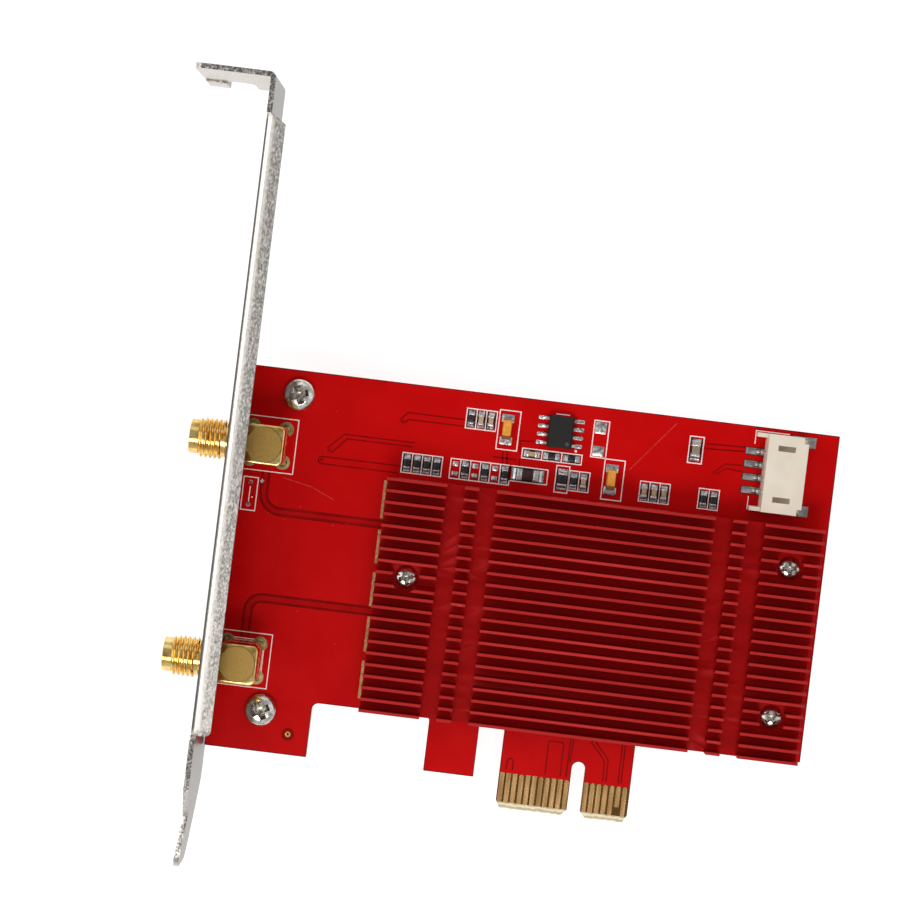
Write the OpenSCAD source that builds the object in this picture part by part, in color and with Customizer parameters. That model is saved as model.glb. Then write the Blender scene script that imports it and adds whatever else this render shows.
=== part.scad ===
// Wireless network card for a desktop computer: a short expansion card on a full-height
// slot bracket, with two right-angle antenna jacks, a plug-in radio module under a finned
// heatsink and a four-pin side-entry header.
// It lies flat with its component side up. The origin is on the centre line of the key
// notch, at the contact edge, half way through the board. +X runs away from the bracket,
// +Y runs from the contact edge to the top edge and +Z leaves the component side.

/* [Board] */
// Thickness of the circuit board
board_t = 1.6; // [1.2:0.1:2]
// Height of the board's top edge above the contact edge
board_top = 63; // [61:0.5:66]
// Reach of the board to the right of the key notch
board_right = 33.65; // [33:0.05:38]
// Reach of the board to the left of the key notch
board_left = 57.5; // [56:0.1:60]
// Height of the long lower edge above the contact edge
board_low = 12.54; // [11:0.02:13]
// Width of the lobe beside the bracket
lobe_w = 15.75; // [14:0.05:17]
// Height of the lobe's lower edge above the contact edge
lobe_low = 4.1; // [3:0.1:6]
// Distance from the key notch to the near side of the small tab
small_tab_x = 15.9; // [15:0.1:17]
// Width of the small tab
small_tab_w = 7.75; // [6:0.05:9]
// Height of the small tab's lower edge above the contact edge
small_tab_low = 4.27; // [3:0.01:6]

/* [Edge connector] */
// Reach of the contact tongue to the left of the key notch
tongue_left = 12; // [12:0.05:12.6]
// Reach of the contact tongue to the right of the key notch
tongue_right = 8.25; // [8:0.05:9]
// Width of the key notch
key_w = 2.05; // [1.8:0.05:2.1]
// Height of the key notch
key_h = 8.5; // [7:0.1:10]
// Distance between neighbouring contacts
contact_pitch = 1; // [0.98:0.01:1.02]
// Width of one contact
contact_w = 0.7; // [0.6:0.02:0.76]
// Height of the contacts' upper ends above the contact edge
contact_top = 5.5; // [4.5:0.1:6.5]
// Thickness of the contact plating
contact_t = 0.05; // [0.03:0.01:0.08]
// Height of the bevel along the contact edge
bevel_h = 1; // [0.6:0.05:1.2]
// Depth of the bevel on each face
bevel_in = 0.4; // [0.2:0.05:0.55]

/* [Bracket] */
// Thickness of the bracket's sheet steel
bracket_t = 0.8; // [0.7:0.02:1]
// Width of the bracket across the slot
bracket_w = 18.42; // [18:0.02:19]
// Height of the bracket from its tongue to its top tab
bracket_h = 120.02; // [118:0.02:122]
// Reach of the bracket's tongue below the contact edge
bracket_reach = 13.52; // [12:0.02:15]
// Drop of the bracket's lower edge below the solder face
bracket_drop = 2.52; // [2.3:0.02:3]
// Gap between the board's edge and the bracket
bracket_gap = 0.2; // [0.2:0.05:0.5]
// Depth of the folded flange, measured from the outer face
flange_d = 3; // [2.4:0.05:3.2]
// Height of the flange's lower end above the contact edge
flange_low = 7.2; // [6:0.1:7.6]
// Distance from the top tab to the flange's upper end
flange_end_gap = 6.1; // [5:0.1:10]
// Length of the top tab
top_tab_l = 11.43; // [10.5:0.01:12.5]
// Width of the screw notch in the top tab
tab_notch_w = 4.42; // [4.2:0.02:4.6]
// Width of the bracket's lower tongue
bracket_tongue_w = 10.19; // [9:0.01:11.5]
// Length of the bent end of the lower tongue
bent_end_l = 8; // [6:0.1:8.5]
// Outward lean of the lower tongue in degrees
tongue_lean_angle = 5; // [0:0.5:10]
// Width of the tabs that carry the board
screw_tab_w = 7.2; // [6.5:0.1:8]

/* [Heatsink] */
// Length of the heatsink along the board
sink_l = 66.83; // [65:0.01:67.5]
// Width of the heatsink across its fins
sink_w = 35.73; // [35:0.01:36.2]
// Thickness of the heatsink's base
sink_base = 1.5; // [1.2:0.1:2.5]
// Height of the fins above the base
fin_h = 3; // [2:0.1:6]
// Thickness of one fin
fin_t = 0.46; // [0.4:0.02:0.7]
// Number of fins
fin_count = 21; // [17:2:23]
// Width of the cross channels
channel_w = 2.63; // [2:0.01:3]
// Length of the fins at each end of the heatsink
end_fin_l = 9.25; // [9:0.05:10]
// Length of the short fins between two channels
short_fin_l = 2.24; // [1.6:0.02:3]
// Gap between the board's face and the heatsink
sink_lift = 3.1; // [2.9:0.05:3.6]
// Distance from the heatsink to the board's top edge
sink_top_gap = 14.42; // [14.2:0.01:15]
// Distance from the heatsink to the board's right edge
sink_right_gap = 1.2; // [0.8:0.05:1.6]

/* [Radio module] */
// Length of the radio module
module_l = 30; // [28:0.1:34]
// Width of the radio module
module_w = 22; // [21:0.1:24]
// Thickness of the radio module's board
module_t = 0.8; // [0.7:0.02:0.9]
// Gap between the board's face and the module
module_lift = 0.5; // [0.4:0.05:0.6]
// Height of the shield can on the module
can_h = 1.4; // [1.1:0.1:1.5]

/* [Antenna jacks] */
// Height of the upper jack above the contact edge
upper_jack_y = 51.15; // [48:0.05:52]
// Height of the lower jack above the contact edge
lower_jack_y = 17.95; // [17.5:0.05:24]
// Distance from the board's left edge to the jack's middle
jack_inset = 4.2; // [4:0.05:5]
// Side of the jack's square block
jack_block = 6; // [5.8:0.05:6.5]
// Height of the block above the board
jack_h = 9.4; // [9:0.05:10]
// Height of the barrel's axis above the board
jack_axis_h = 6.3; // [5.5:0.05:6.4]
// Outer diameter of the thread
jack_thread_d = 6.2; // [6:0.05:6.35]
// Length of the thread
jack_thread_l = 3.7; // [3:0.1:6]
// Length of the plain neck outside the bracket
jack_neck_out = 1.45; // [1:0.05:2]
// Diameter of the plain neck
jack_neck_d = 5.25; // [5.1:0.05:5.6]
// Length of the plain end ring
jack_end_l = 1.05; // [0.6:0.05:1.5]
// Diameter of the plain end ring
jack_end_d = 4.95; // [4.8:0.05:5.2]

/* [Header] */
// Number of pins in the header
header_pin_count = 4; // [3:1:4]
// Distance between neighbouring header pins
header_pitch = 2; // [1.9:0.05:2]
// Width of the header's housing
header_w = 11.95; // [11.6:0.05:12.4]
// Depth of the header's housing
header_d = 6.1; // [5.8:0.1:6.6]
// Height of the header's housing
header_h = 5.5; // [5:0.1:6]
// Distance from the housing's mouth to the board's right edge
header_right_gap = 5.15; // [4:0.05:5.5]
// Distance from the housing's middle to the board's top edge
header_drop = 6.85; // [6.8:0.05:7.2]

/* [Hidden] */
// Overrun of every cut and lap of every joined shape
cut = 0.3;
// Steps in one rounded corner of an outline
corner_steps = 6;
$fn = 48;

// Faces of the board and of the heatsink
face = board_t / 2;
under = -face;
sink_under = face + sink_lift;
sink_floor = sink_under + sink_base;

// Corners of the board
board_corner_r = 0.15;
bite_r = 1;
small_tab_r = 0.6;
tongue_lead_w = 0.6;
tongue_lead_h = 1.2;
key_lead = 0.9;
left_edge = -board_left;
lobe_right = left_edge + lobe_w;

// Contacts: the nearest ones stand beside the key notch, and one on each face is short
near_contact = 1.5;
left_contact_count = 11;
right_contact_count = 7;
short_contact_low = 2.3;
round_tips_left = [0, 3, 4, 7];
round_tips_right = [1, 2, 3, 4, 5, 6];

// Bracket faces, folds and cut-outs
plate_in = left_edge - bracket_gap;
plate_out = plate_in - bracket_t;
bracket_floor = -face - bracket_drop;
bracket_high = bracket_floor + bracket_w;
bracket_mid = (bracket_high + bracket_floor) / 2;
fold_in = 0.2;
fold_out = fold_in + bracket_t;
flange_tip = plate_out + flange_d;
flange_slant = 1.5;
flange_r = 0.9;
fold_relief_l = 0.8;
bracket_foot = -bracket_reach;
bracket_top = bracket_foot + bracket_h;
flange_top = bracket_top - flange_end_gap;
tongue_bend_y = bracket_foot + bent_end_l;
shoulder_h = (bracket_w - bracket_tongue_w) / 2;
tongue_tip_r = 2;
top_tab_end = plate_out - top_tab_l;
top_tab_r = 1.2;
tab_wing_w = 3.17;
tab_wing_gap = 1.4;
tab_wing_r = 0.4;
tab_notch_x = 5.8;
tab_notch_l = 5;

// Screws that hold the board to the bracket
board_screw_d = 2.9;
board_screw_play = 0.15;
board_screw_head_d = 4.5;
board_screw_head_h = 1.6;
board_screw_rim_d = 4.9;
board_screw_rim_t = 0.3;
board_screw_tail = 1.2;
board_screw_inset = 8;
upper_screw_drop = 3.8;
lower_screw_rise = 6.4;
board_screw_x = left_edge + board_screw_inset;
board_screw_ys = [lobe_low + lower_screw_rise, board_top - upper_screw_drop];
screw_tab_reach = 3.9;
screw_tab_r = 1.5;
screw_tab_relief = 0.8;
screw_tab_low = under - bracket_t;
head_edge_share = 0.45;
cross_w_share = 0.24;
cross_l_share = 0.62;
cross_depth_share = 0.6;

// Antenna jacks
jack_x = left_edge + jack_inset;
jack_collar_gap = 0.1;
jack_collar_d = 5.8;
jack_hole_play = 0.2;
jack_corner = 0.9;
jack_leg = 0.9;
jack_leg_inset = 0.46;
jack_leg_pitch = jack_block - 2 * jack_leg_inset;
jack_leg_tail = 0.9;
jack_leg_play = 0.2;
jack_bore_d = 4.1;
jack_mouth_d = 4.4;
jack_mouth_l = 2;
jack_well_d = 3.4;
jack_pin_d = 1.27;
jack_tip_d = 0.94;
jack_tip_back = 0.4;
jack_cap_d = 5.4;
jack_cap_t = 0.8;
jack_inner_play = 0.02;
jack_insulator_cover = 0.6;
jack_thread_lead = 0.3;
thread_start = plate_out - jack_neck_out;
thread_end = thread_start - jack_thread_l;
jack_end = thread_end - jack_end_l;
jack_axis_z = face + jack_axis_h;
jack_top = face + jack_h;

// Heatsink, its screws and what lies under it
sink_right = board_right - sink_right_gap;
sink_left = sink_right - sink_l;
sink_top = board_top - sink_top_gap;
sink_low = sink_top - sink_w;
fin_top = sink_floor + fin_h;
fin_pitch = (sink_w - fin_t) / (fin_count - 1);
sink_screw_inset = 4.65;
left_screw_share = 0.583;
low_screw_share = 0.1828;
high_screw_share = 0.8198;
sink_screw_places = [
    [sink_left + sink_screw_inset, sink_low + left_screw_share * sink_w],
    [sink_right - sink_screw_inset, sink_low + low_screw_share * sink_w],
    [sink_right - sink_screw_inset, sink_low + high_screw_share * sink_w]
];
sink_screw_d = 2;
sink_screw_play = 0.3;
sink_screw_head_d = 3.3;
sink_screw_head_h = 1.2;
sink_screw_end_gap = 0.3;
sink_well_d = 4.2;
standoff_d = 3.3;
standoff_foot_d = 5.5;
standoff_play = 0.05;
bent_fin_row = 11;
bent_left_shift = 0.2;
bent_right_shift = 0.55;

// Radio module: its notched end sits round the left standoff, its tongue is in the slot
module_play = 0.1;
module_x = sink_screw_places[0][0];
module_y = sink_screw_places[0][1];
module_end = module_x + module_l;
module_low = face + module_lift;
module_high = module_low + module_t;
module_tongue_w = 19.85;
module_key_w = 1.2;
module_key_y = 6.63;
module_key_l = 3.5;
can_l = 18;
can_w = 19;
can_x = 6.5;
can_corner = 0.6;
can_top = module_high + can_h;
pad_l = 15;
pad_w = 16;
slot_grip = 4;
slot_l = 8.2;
slot_side = 1.4;
slot_h = 2.3;
slot_start = module_end - slot_grip;
slot_end = slot_start + slot_l;
slot_contact_count = 32;
slot_contact_pitch = 0.5;
slot_contact_w = 0.22;
slot_contact_l = 0.8;
slot_contact_t = 0.2;

// Coaxial sockets on the board and on the module, joined by short leads
socket_side = 2.4;
board_socket_h = 1.2;
module_socket_h = 0.4;
plug_d = 2.2;
plug_h = 0.9;
plug_arm_d = 0.8;
plug_arm_l = 1.2;
lead_d = 0.8;
line_spread = 13.3;
board_socket_x = 2;
module_socket_x = 3;

// Header
header_wall = 0.8;
header_roof = 0.75;
header_back = 1.1;
header_arm_l = 1.6;
header_arm_t = 0.65;
header_arm_h = 3.4;
header_window_l = 2.66;
header_window_w = 0.85;
header_window_x = 1.54;
header_window_y = 3.92;
header_pin = 0.5;
header_pin_z = 2.3;
header_pin_tip = 1.2;
header_pin_foot_t = 0.35;
header_pin_foot_l = 1.7;
header_pin_gap = 0.35;
header_pin_play = 0.02;
header_pin_r = 0.2;
header_notch_l = 0.7;
header_notch_w = 0.95;
header_tab_t = 0.3;
header_tab_foot = 1.5;
header_tab_w = 1.3;
header_tab_h = 2.6;
header_tab_l = 1.8;
header_mouth = board_right - header_right_gap;
header_rear = header_mouth - header_d;
header_y = board_top - header_drop;
header_low = header_y - header_w / 2;
header_high = header_y + header_w / 2;

// Memory chip with eight gull-wing leads
memory_l = 4.9;
memory_w = 3.9;
memory_h = 1.4;
memory_lift = 0.1;
memory_x = -9.05;
memory_drop = 4.57;
memory_bevel = 0.25;
lead_pitch = 1.27;
lead_w = 0.42;
lead_t = 0.2;
lead_reach = 1.05;
lead_foot = 0.6;
memory_y = board_top - memory_drop;

// Chip resistors and capacitors, in rows of cells below the board's top edge
cell_pitch = 1.53;
low_row_drop = 12.12;
pair_row_drop = 11.8;
mid_row_drop = 8.45;
high_row_drop = 4.17;
low_row_y = board_top - low_row_drop;
pair_row_y = board_top - pair_row_drop;
mid_row_y = board_top - mid_row_drop;
high_row_y = board_top - high_row_drop;
first_row_x = -31.88;
second_row_x = -24.43;
trio_x = -22.9;
pair_x = -6.15;
mid_row_x = -13;
mid_row_pitch = 3.07;
medium_chip_x = -7.9;
medium_chip_lift = 0.05;
third_row_x = 4.8;
last_pair_x = 14;
large_chip_x = 11.9;
large_chip_drop = 4.75;
chip_end_proud = 0.03;

// Length, width, height and end length of each size of chip
small_resistor = [1.6, 0.8, 0.45, 0.3];
medium_resistor = [2, 1.25, 0.55, 0.4];
small_capacitor = [1.6, 0.8, 0.8, 0.35];
large_capacitor = [2, 1.25, 0.85, 0.4];
fuse_size = [3.2, 1.6, 0.9, 0.7];
fuse_x = -13.25;
fuse_drop = 11.75;
fuse_y = board_top - fuse_drop;

// Each row below is a place and the quarter turns of the chip that stands there
resistor_places = [
    for (i = [0:3]) [first_row_x + i * cell_pitch, low_row_y, 1],
    for (i = [1:2:5]) [second_row_x + i * cell_pitch, low_row_y, 1],
    [trio_x, high_row_y, 1],
    for (i = [1:2]) [mid_row_x + i * mid_row_pitch, mid_row_y, 0],
    [pair_x, pair_row_y, 1],
    for (i = [0:1]) [last_pair_x + i * cell_pitch, low_row_y, 1]
];
capacitor_places = [
    for (i = [1:2]) [trio_x + i * cell_pitch, high_row_y, 1],
    [mid_row_x, mid_row_y, 0],
    [pair_x + cell_pitch, pair_row_y, 1],
    for (i = [0:2]) [third_row_x + i * cell_pitch, low_row_y, 1]
];

// Moulded tantalum capacitors
tantalum_l = 3.2;
tantalum_w = 1.6;
tantalum_h = 1.6;
tantalum_draft = 0.08;
terminal_t = 0.12;
terminal_w = 1.2;
terminal_foot = 0.75;
left_tantalum_x = -17.25;
left_tantalum_drop = 5.2;
right_tantalum_x = -0.45;
right_tantalum_drop = 10.9;
left_tantalum_y = board_top - left_tantalum_drop;
right_tantalum_y = board_top - right_tantalum_drop;

resistor_names = [for (i = [1:len(resistor_places)]) str("chip_resistor_", i)];
capacitor_names = [for (i = [1:len(capacitor_places)]) str("chip_capacitor_", i)];

// Outline with rounded corners: each point is [x, y] or [x, y, radius]
function unit(v) = v / norm(v);

function corner(before, at, after, r) =
    let (
        u = unit(before - at),
        v = unit(after - at),
        half_angle = acos(u * v) / 2,
        middle = at + unit(u + v) * r / sin(half_angle),
        from = at + u * r / tan(half_angle) - middle,
        to = at + v * r / tan(half_angle) - middle
    )
    [for (i = [0:corner_steps]) middle + r * unit(from * (corner_steps - i) + to * i)];

function flat(point) = [point[0], point[1]];

function rounded(points) =
    let (last = len(points) - 1)
    [for (i = [0:last])
        let (
            point = points[i],
            before = points[i == 0 ? last : i - 1],
            after = points[i == last ? 0 : i + 1],
            r = len(point) == 3 ? point[2] : 0
        )
        each r == 0 ? [flat(point)] : corner(flat(before), flat(point), flat(after), r)];

// Box between two opposite corners
module block(low, high) {
    translate(low) cube(high - low);
}

// Outline in X and Z, drawn out along Y from y_low to y_high
module along_y(y_low, y_high) {
    translate([0, y_high, 0]) rotate([90, 0, 0]) linear_extrude(y_high - y_low) children();
}

// Outline in Y and Z, drawn out along X from x_low to x_high
module along_x(x_low, x_high) {
    translate([x_low, 0, 0]) rotate([90, 0, 90]) linear_extrude(x_high - x_low) children();
}

// Rod along X between two places
module rod_x(x_low, x_high, y, z, d) {
    translate([x_low, y, z]) rotate([0, 90, 0]) cylinder(d = d, h = x_high - x_low);
}

module bracket_web() {
    along_x(plate_out, plate_in)
        polygon([
            [tongue_bend_y, bracket_mid - bracket_tongue_w / 2],
            [tongue_bend_y + shoulder_h, bracket_floor],
            [bracket_top - fold_out, bracket_floor],
            [bracket_top - fold_out, bracket_high],
            [flange_top, bracket_high],
            [flange_top, bracket_high - fold_out],
            [flange_low - fold_relief_l, bracket_high - fold_out],
            [flange_low - fold_relief_l, bracket_high],
            [tongue_bend_y + shoulder_h, bracket_high],
            [tongue_bend_y, bracket_mid + bracket_tongue_w / 2]
        ]);
}

// Flange folded over the parts, with a slanted upper end and a rounded lower corner
module bracket_flange() {
    intersection() {
        along_y(flange_low, flange_top)
            polygon(rounded([
                [plate_out, bracket_mid],
                [plate_in, bracket_mid],
                [plate_in, bracket_high - bracket_t, fold_in],
                [flange_tip, bracket_high - bracket_t],
                [flange_tip, bracket_high],
                [plate_out, bracket_high, fold_out]
            ]));
        translate([0, 0, bracket_mid - cut])
            linear_extrude(bracket_w / 2 + 2 * cut)
                polygon(rounded([
                    [plate_out - cut, flange_low],
                    [flange_tip, flange_low, flange_r],
                    [flange_tip, flange_top - flange_slant],
                    [plate_in, flange_top],
                    [plate_out - cut, flange_top]
                ]));
    }
}

// Tab folded outwards at the top, with a wing and a notch for the case's slot screw
module bracket_top_tab() {
    translate([0, 0, bracket_floor])
        linear_extrude(bracket_w)
            polygon(rounded([
                [plate_in, bracket_top - fold_out - cut],
                [plate_in, bracket_top, fold_out],
                [plate_out - fold_out, bracket_top],
                [plate_out - fold_out, bracket_top - bracket_t],
                [plate_out, bracket_top - bracket_t, fold_in],
                [plate_out, bracket_top - fold_out - cut]
            ]));
    difference() {
        along_y(bracket_top - bracket_t, bracket_top)
            polygon(rounded([
                [plate_out - fold_in, bracket_floor],
                [plate_out - fold_in, bracket_high],
                [top_tab_end, bracket_high, top_tab_r],
                [top_tab_end, bracket_floor - tab_wing_w, top_tab_r],
                [plate_out - tab_wing_gap, bracket_floor - tab_wing_w, tab_wing_r],
                [plate_out - tab_wing_gap, bracket_floor, tab_wing_r]
            ]));
        translate([plate_out - tab_notch_x, bracket_top + cut, bracket_floor - tab_wing_w + tab_notch_l])
            rotate([90, 0, 0])
                cylinder(d = tab_notch_w, h = bracket_t + 2 * cut);
        block(
            [plate_out - tab_notch_x - tab_notch_w / 2, bracket_top - bracket_t - cut,
                bracket_floor - tab_wing_w - cut],
            [plate_out - tab_notch_x + tab_notch_w / 2, bracket_top + cut,
                bracket_floor - tab_wing_w + tab_notch_l]);
    }
}

// Lower tongue, leaning outwards below its bend
module bracket_tongue() {
    translate([plate_in, tongue_bend_y, 0])
        rotate([0, 0, -tongue_lean_angle])
            translate([-plate_in, -tongue_bend_y, 0])
                along_x(plate_out, plate_in)
                    polygon(rounded([
                        [tongue_bend_y, bracket_mid - bracket_tongue_w / 2],
                        [tongue_bend_y, bracket_mid + bracket_tongue_w / 2],
                        [bracket_foot, bracket_mid + bracket_tongue_w / 2, tongue_tip_r],
                        [bracket_foot, bracket_mid - bracket_tongue_w / 2, tongue_tip_r]
                    ]));
}

// Space cleared in the web for one tab that carries the board
module screw_tab_window(y) {
    half_w = screw_tab_w / 2 + screw_tab_relief;
    block(
        [plate_out - cut, y - half_w, bracket_floor - cut],
        [flange_tip + cut, y + half_w, screw_tab_low + fold_out]);
}

module screw_tab(y) {
    along_y(y - screw_tab_w / 2, y + screw_tab_w / 2)
        polygon(rounded([
            [plate_out, screw_tab_low + fold_out + cut],
            [plate_out, screw_tab_low, fold_out],
            [plate_in + fold_out, screw_tab_low],
            [plate_in + fold_out, under],
            [plate_in, under, fold_in],
            [plate_in, screw_tab_low + fold_out + cut]
        ]));
    difference() {
        translate([0, 0, screw_tab_low])
            linear_extrude(bracket_t)
                polygon(rounded([
                    [plate_in + fold_in, y - screw_tab_w / 2],
                    [board_screw_x + screw_tab_reach, y - screw_tab_w / 2, screw_tab_r],
                    [board_screw_x + screw_tab_reach, y + screw_tab_w / 2, screw_tab_r],
                    [plate_in + fold_in, y + screw_tab_w / 2]
                ]));
        translate([board_screw_x, y, screw_tab_low - cut])
            cylinder(d = board_screw_d + standoff_play, h = bracket_t + 2 * cut);
    }
}

module bracket() {
    color("gainsboro")
        difference() {
            union() {
                difference() {
                    union() {
                        bracket_web();
                        bracket_flange();
                    }
                    for (y = board_screw_ys) screw_tab_window(y);
                }
                bracket_top_tab();
                bracket_tongue();
                for (y = board_screw_ys) screw_tab(y);
            }
            for (y = [lower_jack_y, upper_jack_y])
                rod_x(plate_out - cut, plate_in + cut, y, jack_axis_z, jack_thread_d + jack_hole_play);
        }
}

// Crossed recess in a screw head of the given size
module cross_recess(head_d, head_h) {
    depth = head_h * cross_depth_share;
    for (turn = [0, 90])
        rotate([0, 0, turn])
            translate([0, 0, head_h - depth / 2 + cut / 2])
                cube([head_d * cross_l_share, head_d * cross_w_share / 2, depth + cut], center = true);
}

// Pan head with a domed edge, standing on the plane z = 0
module pan_head(head_d, head_h) {
    edge_h = head_h * head_edge_share;
    dome_h = head_h - edge_h;
    rotate_extrude()
        polygon([
            [0, 0],
            [head_d / 2, 0],
            for (step = [0:corner_steps])
                let (turn = 60 * step / corner_steps)
                [head_d / 2 - dome_h * (1 - cos(turn)), edge_h + dome_h * sin(turn) / sin(60)],
            [0, head_h]
        ]);
}

module board_screw() {
    difference() {
        union() {
            pan_head(board_screw_head_d, board_screw_head_h);
            cylinder(d = board_screw_rim_d, h = board_screw_rim_t);
        }
        cross_recess(board_screw_head_d, board_screw_head_h);
    }
    shank_l = board_t + bracket_t + board_screw_tail;
    translate([0, 0, -shank_l]) cylinder(d = board_screw_d, h = shank_l + board_screw_rim_t);
}

module bracket_screws() {
    color("silver")
        for (y = board_screw_ys) translate([board_screw_x, y, face]) board_screw();
}

// Outline of the board with its lobe, small tab and contact tongue
module board_outline() {
    difference() {
        polygon(rounded([
            [left_edge, board_top, board_corner_r],
            [left_edge, lobe_low, board_corner_r],
            [lobe_right, lobe_low, board_corner_r],
            [lobe_right, board_low, bite_r],
            [-small_tab_x - small_tab_w, board_low, small_tab_r],
            [-small_tab_x - small_tab_w, small_tab_low, board_corner_r],
            [-small_tab_x, small_tab_low, board_corner_r],
            [-small_tab_x, board_low, small_tab_r],
            [-tongue_left, board_low, small_tab_r],
            [-tongue_left, tongue_lead_h],
            [-tongue_left + tongue_lead_w, 0],
            [tongue_right - tongue_lead_w, 0],
            [tongue_right, tongue_lead_h],
            [tongue_right, board_low, small_tab_r],
            [board_right, board_low, board_corner_r],
            [board_right, board_top, board_corner_r]
        ]));
        translate([0, key_h - key_w / 2]) circle(d = key_w);
        translate([-key_w / 2, -cut]) square([key_w, key_h - key_w / 2 + cut]);
        polygon([
            [-key_w / 2 - key_lead, 0],
            [-key_w / 2 - key_lead, -cut],
            [key_w / 2 + key_lead, -cut],
            [key_w / 2 + key_lead, 0],
            [0, key_w / 2 + key_lead]
        ]);
    }
}

// Sloping cut along the contact edge on the component face
module edge_bevel() {
    along_x(-tongue_left - cut, tongue_right + cut)
        polygon([
            [bevel_h, face],
            [bevel_h, face + cut],
            [-cut, face + cut],
            [-cut, face - bevel_in * (1 + cut / bevel_h)]
        ]);
}

module jack_leg_places() {
    for (side_x = [-1, 1])
        for (side_y = [-1, 1])
            translate([side_x * jack_leg_pitch / 2, side_y * jack_leg_pitch / 2, 0])
                children();
}

module circuit_board() {
    color("firebrick")
        difference() {
            translate([0, 0, under]) linear_extrude(board_t) board_outline();
            edge_bevel();
            mirror([0, 0, 1]) edge_bevel();
            for (y = board_screw_ys)
                translate([board_screw_x, y, under - cut])
                    cylinder(d = board_screw_d + 2 * board_screw_play, h = board_t + 2 * cut);
            for (y = [lower_jack_y, upper_jack_y])
                translate([jack_x, y, under - cut]) {
                    jack_leg_places()
                        cylinder(d = jack_leg * sqrt(2) + jack_leg_play, h = board_t + 2 * cut);
                    cylinder(d = jack_pin_d + jack_leg_play, h = board_t + 2 * cut);
                }
        }
}

function listed(value, values) = len([for (one = values) if (one == value) one]) > 0;

// One contact from its lower end to its square or rounded upper end
module contact(x, low, round_tip) {
    translate([x, 0]) {
        if (round_tip) {
            translate([-contact_w / 2, low]) square([contact_w, contact_top - contact_w / 2 - low]);
            translate([0, contact_top - contact_w / 2]) circle(d = contact_w);
        } else {
            translate([-contact_w / 2, low]) square([contact_w, contact_top - low]);
        }
    }
}

// Row of contacts, of which the one at short_x stops short of the edge
module contact_row(short_x) {
    linear_extrude(contact_t) {
        for (i = [0:left_contact_count - 1]) {
            x = -near_contact - i * contact_pitch;
            contact(x, x == short_x ? short_contact_low : bevel_h, listed(i, round_tips_left));
        }
        for (i = [0:right_contact_count - 1]) {
            x = near_contact + i * contact_pitch;
            contact(x, x == short_x ? short_contact_low : bevel_h, listed(i, round_tips_right));
        }
    }
}

module edge_contacts_front() {
    color("goldenrod")
        translate([0, 0, face])
            contact_row(near_contact + (right_contact_count - 2) * contact_pitch);
}

module edge_contacts_back() {
    color("goldenrod")
        translate([0, 0, under - contact_t])
            contact_row(-near_contact - (left_contact_count - 1) * contact_pitch);
}

// Outline of the base and of every fin, seen from the end of the heatsink
module fin_comb() {
    polygon([
        [sink_low, sink_under],
        [sink_top, sink_under],
        for (i = [fin_count - 1:-1:0])
            each [
                [sink_low + i * fin_pitch + fin_t, sink_floor],
                [sink_low + i * fin_pitch + fin_t, fin_top],
                [sink_low + i * fin_pitch, fin_top],
                [sink_low + i * fin_pitch, sink_floor]
            ]
    ]);
}

// Stub of the damaged fin, leaning towards the contact edge
module bent_stub(x_low, x_high, shift) {
    row_y = sink_low + bent_fin_row * fin_pitch;
    along_x(x_low, x_high)
        polygon([
            [row_y, sink_floor - cut],
            [row_y + fin_t, sink_floor - cut],
            [row_y + fin_t, sink_floor],
            [row_y + fin_t - shift, fin_top],
            [row_y - shift, fin_top],
            [row_y, sink_floor]
        ]);
}

module heatsink() {
    first = sink_left + end_fin_l;
    second = first + channel_w + short_fin_l;
    third = sink_right - end_fin_l - channel_w;
    fourth = third - short_fin_l - channel_w;
    row_y = sink_low + bent_fin_row * fin_pitch;
    middle = sink_screw_places[0][0];
    color("crimson")
        difference() {
            union() {
                difference() {
                    along_x(sink_left, sink_right) fin_comb();
                    for (x = [first, second, third, fourth])
                        block(
                            [x, sink_low - cut, sink_floor],
                            [x + channel_w, sink_top + cut, fin_top + cut]);
                    block(
                        [sink_left - cut, row_y - cut, sink_floor],
                        [first + cut, row_y + fin_t + cut, fin_top + cut]);
                }
                bent_stub(sink_left, middle, bent_left_shift);
                bent_stub(middle, first, bent_right_shift);
            }
            for (place = sink_screw_places)
                translate([place[0], place[1], 0]) {
                    translate([0, 0, sink_floor]) cylinder(d = sink_well_d, h = fin_h + cut);
                    translate([0, 0, sink_under - cut])
                        cylinder(d = sink_screw_d + sink_screw_play, h = sink_base + 2 * cut);
                }
        }
}

module heatsink_screws() {
    shank_l = sink_base + sink_lift - sink_screw_end_gap;
    color("silver")
        for (place = sink_screw_places)
            translate([place[0], place[1], sink_floor]) {
                difference() {
                    pan_head(sink_screw_head_d, sink_screw_head_h);
                    cross_recess(sink_screw_head_d, sink_screw_head_h);
                }
                translate([0, 0, -shank_l]) cylinder(d = sink_screw_d, h = shank_l + cut);
            }
}

// Threaded bushes on the board, each with a foot as high as the gap under the module
module heatsink_standoffs() {
    color("silver")
        for (place = sink_screw_places)
            translate([place[0], place[1], face])
                difference() {
                    union() {
                        cylinder(d = standoff_d, h = sink_lift);
                        cylinder(d = standoff_foot_d, h = module_lift);
                    }
                    translate([0, 0, -cut])
                        cylinder(d = sink_screw_d + standoff_play, h = sink_lift + 2 * cut);
                }
}

// Outline of the module's board or, with play, of the room for it in the slot
module module_outline(play) {
    polygon([
        [module_x, module_y - module_w / 2 - play],
        [slot_start - module_play, module_y - module_w / 2 - play],
        [slot_start - module_play, module_y - module_tongue_w / 2 - play],
        [module_end + play, module_y - module_tongue_w / 2 - play],
        [module_end + play, module_y + module_tongue_w / 2 + play],
        [slot_start - module_play, module_y + module_tongue_w / 2 + play],
        [slot_start - module_play, module_y + module_w / 2 + play],
        [module_x, module_y + module_w / 2 + play]
    ]);
}

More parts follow.
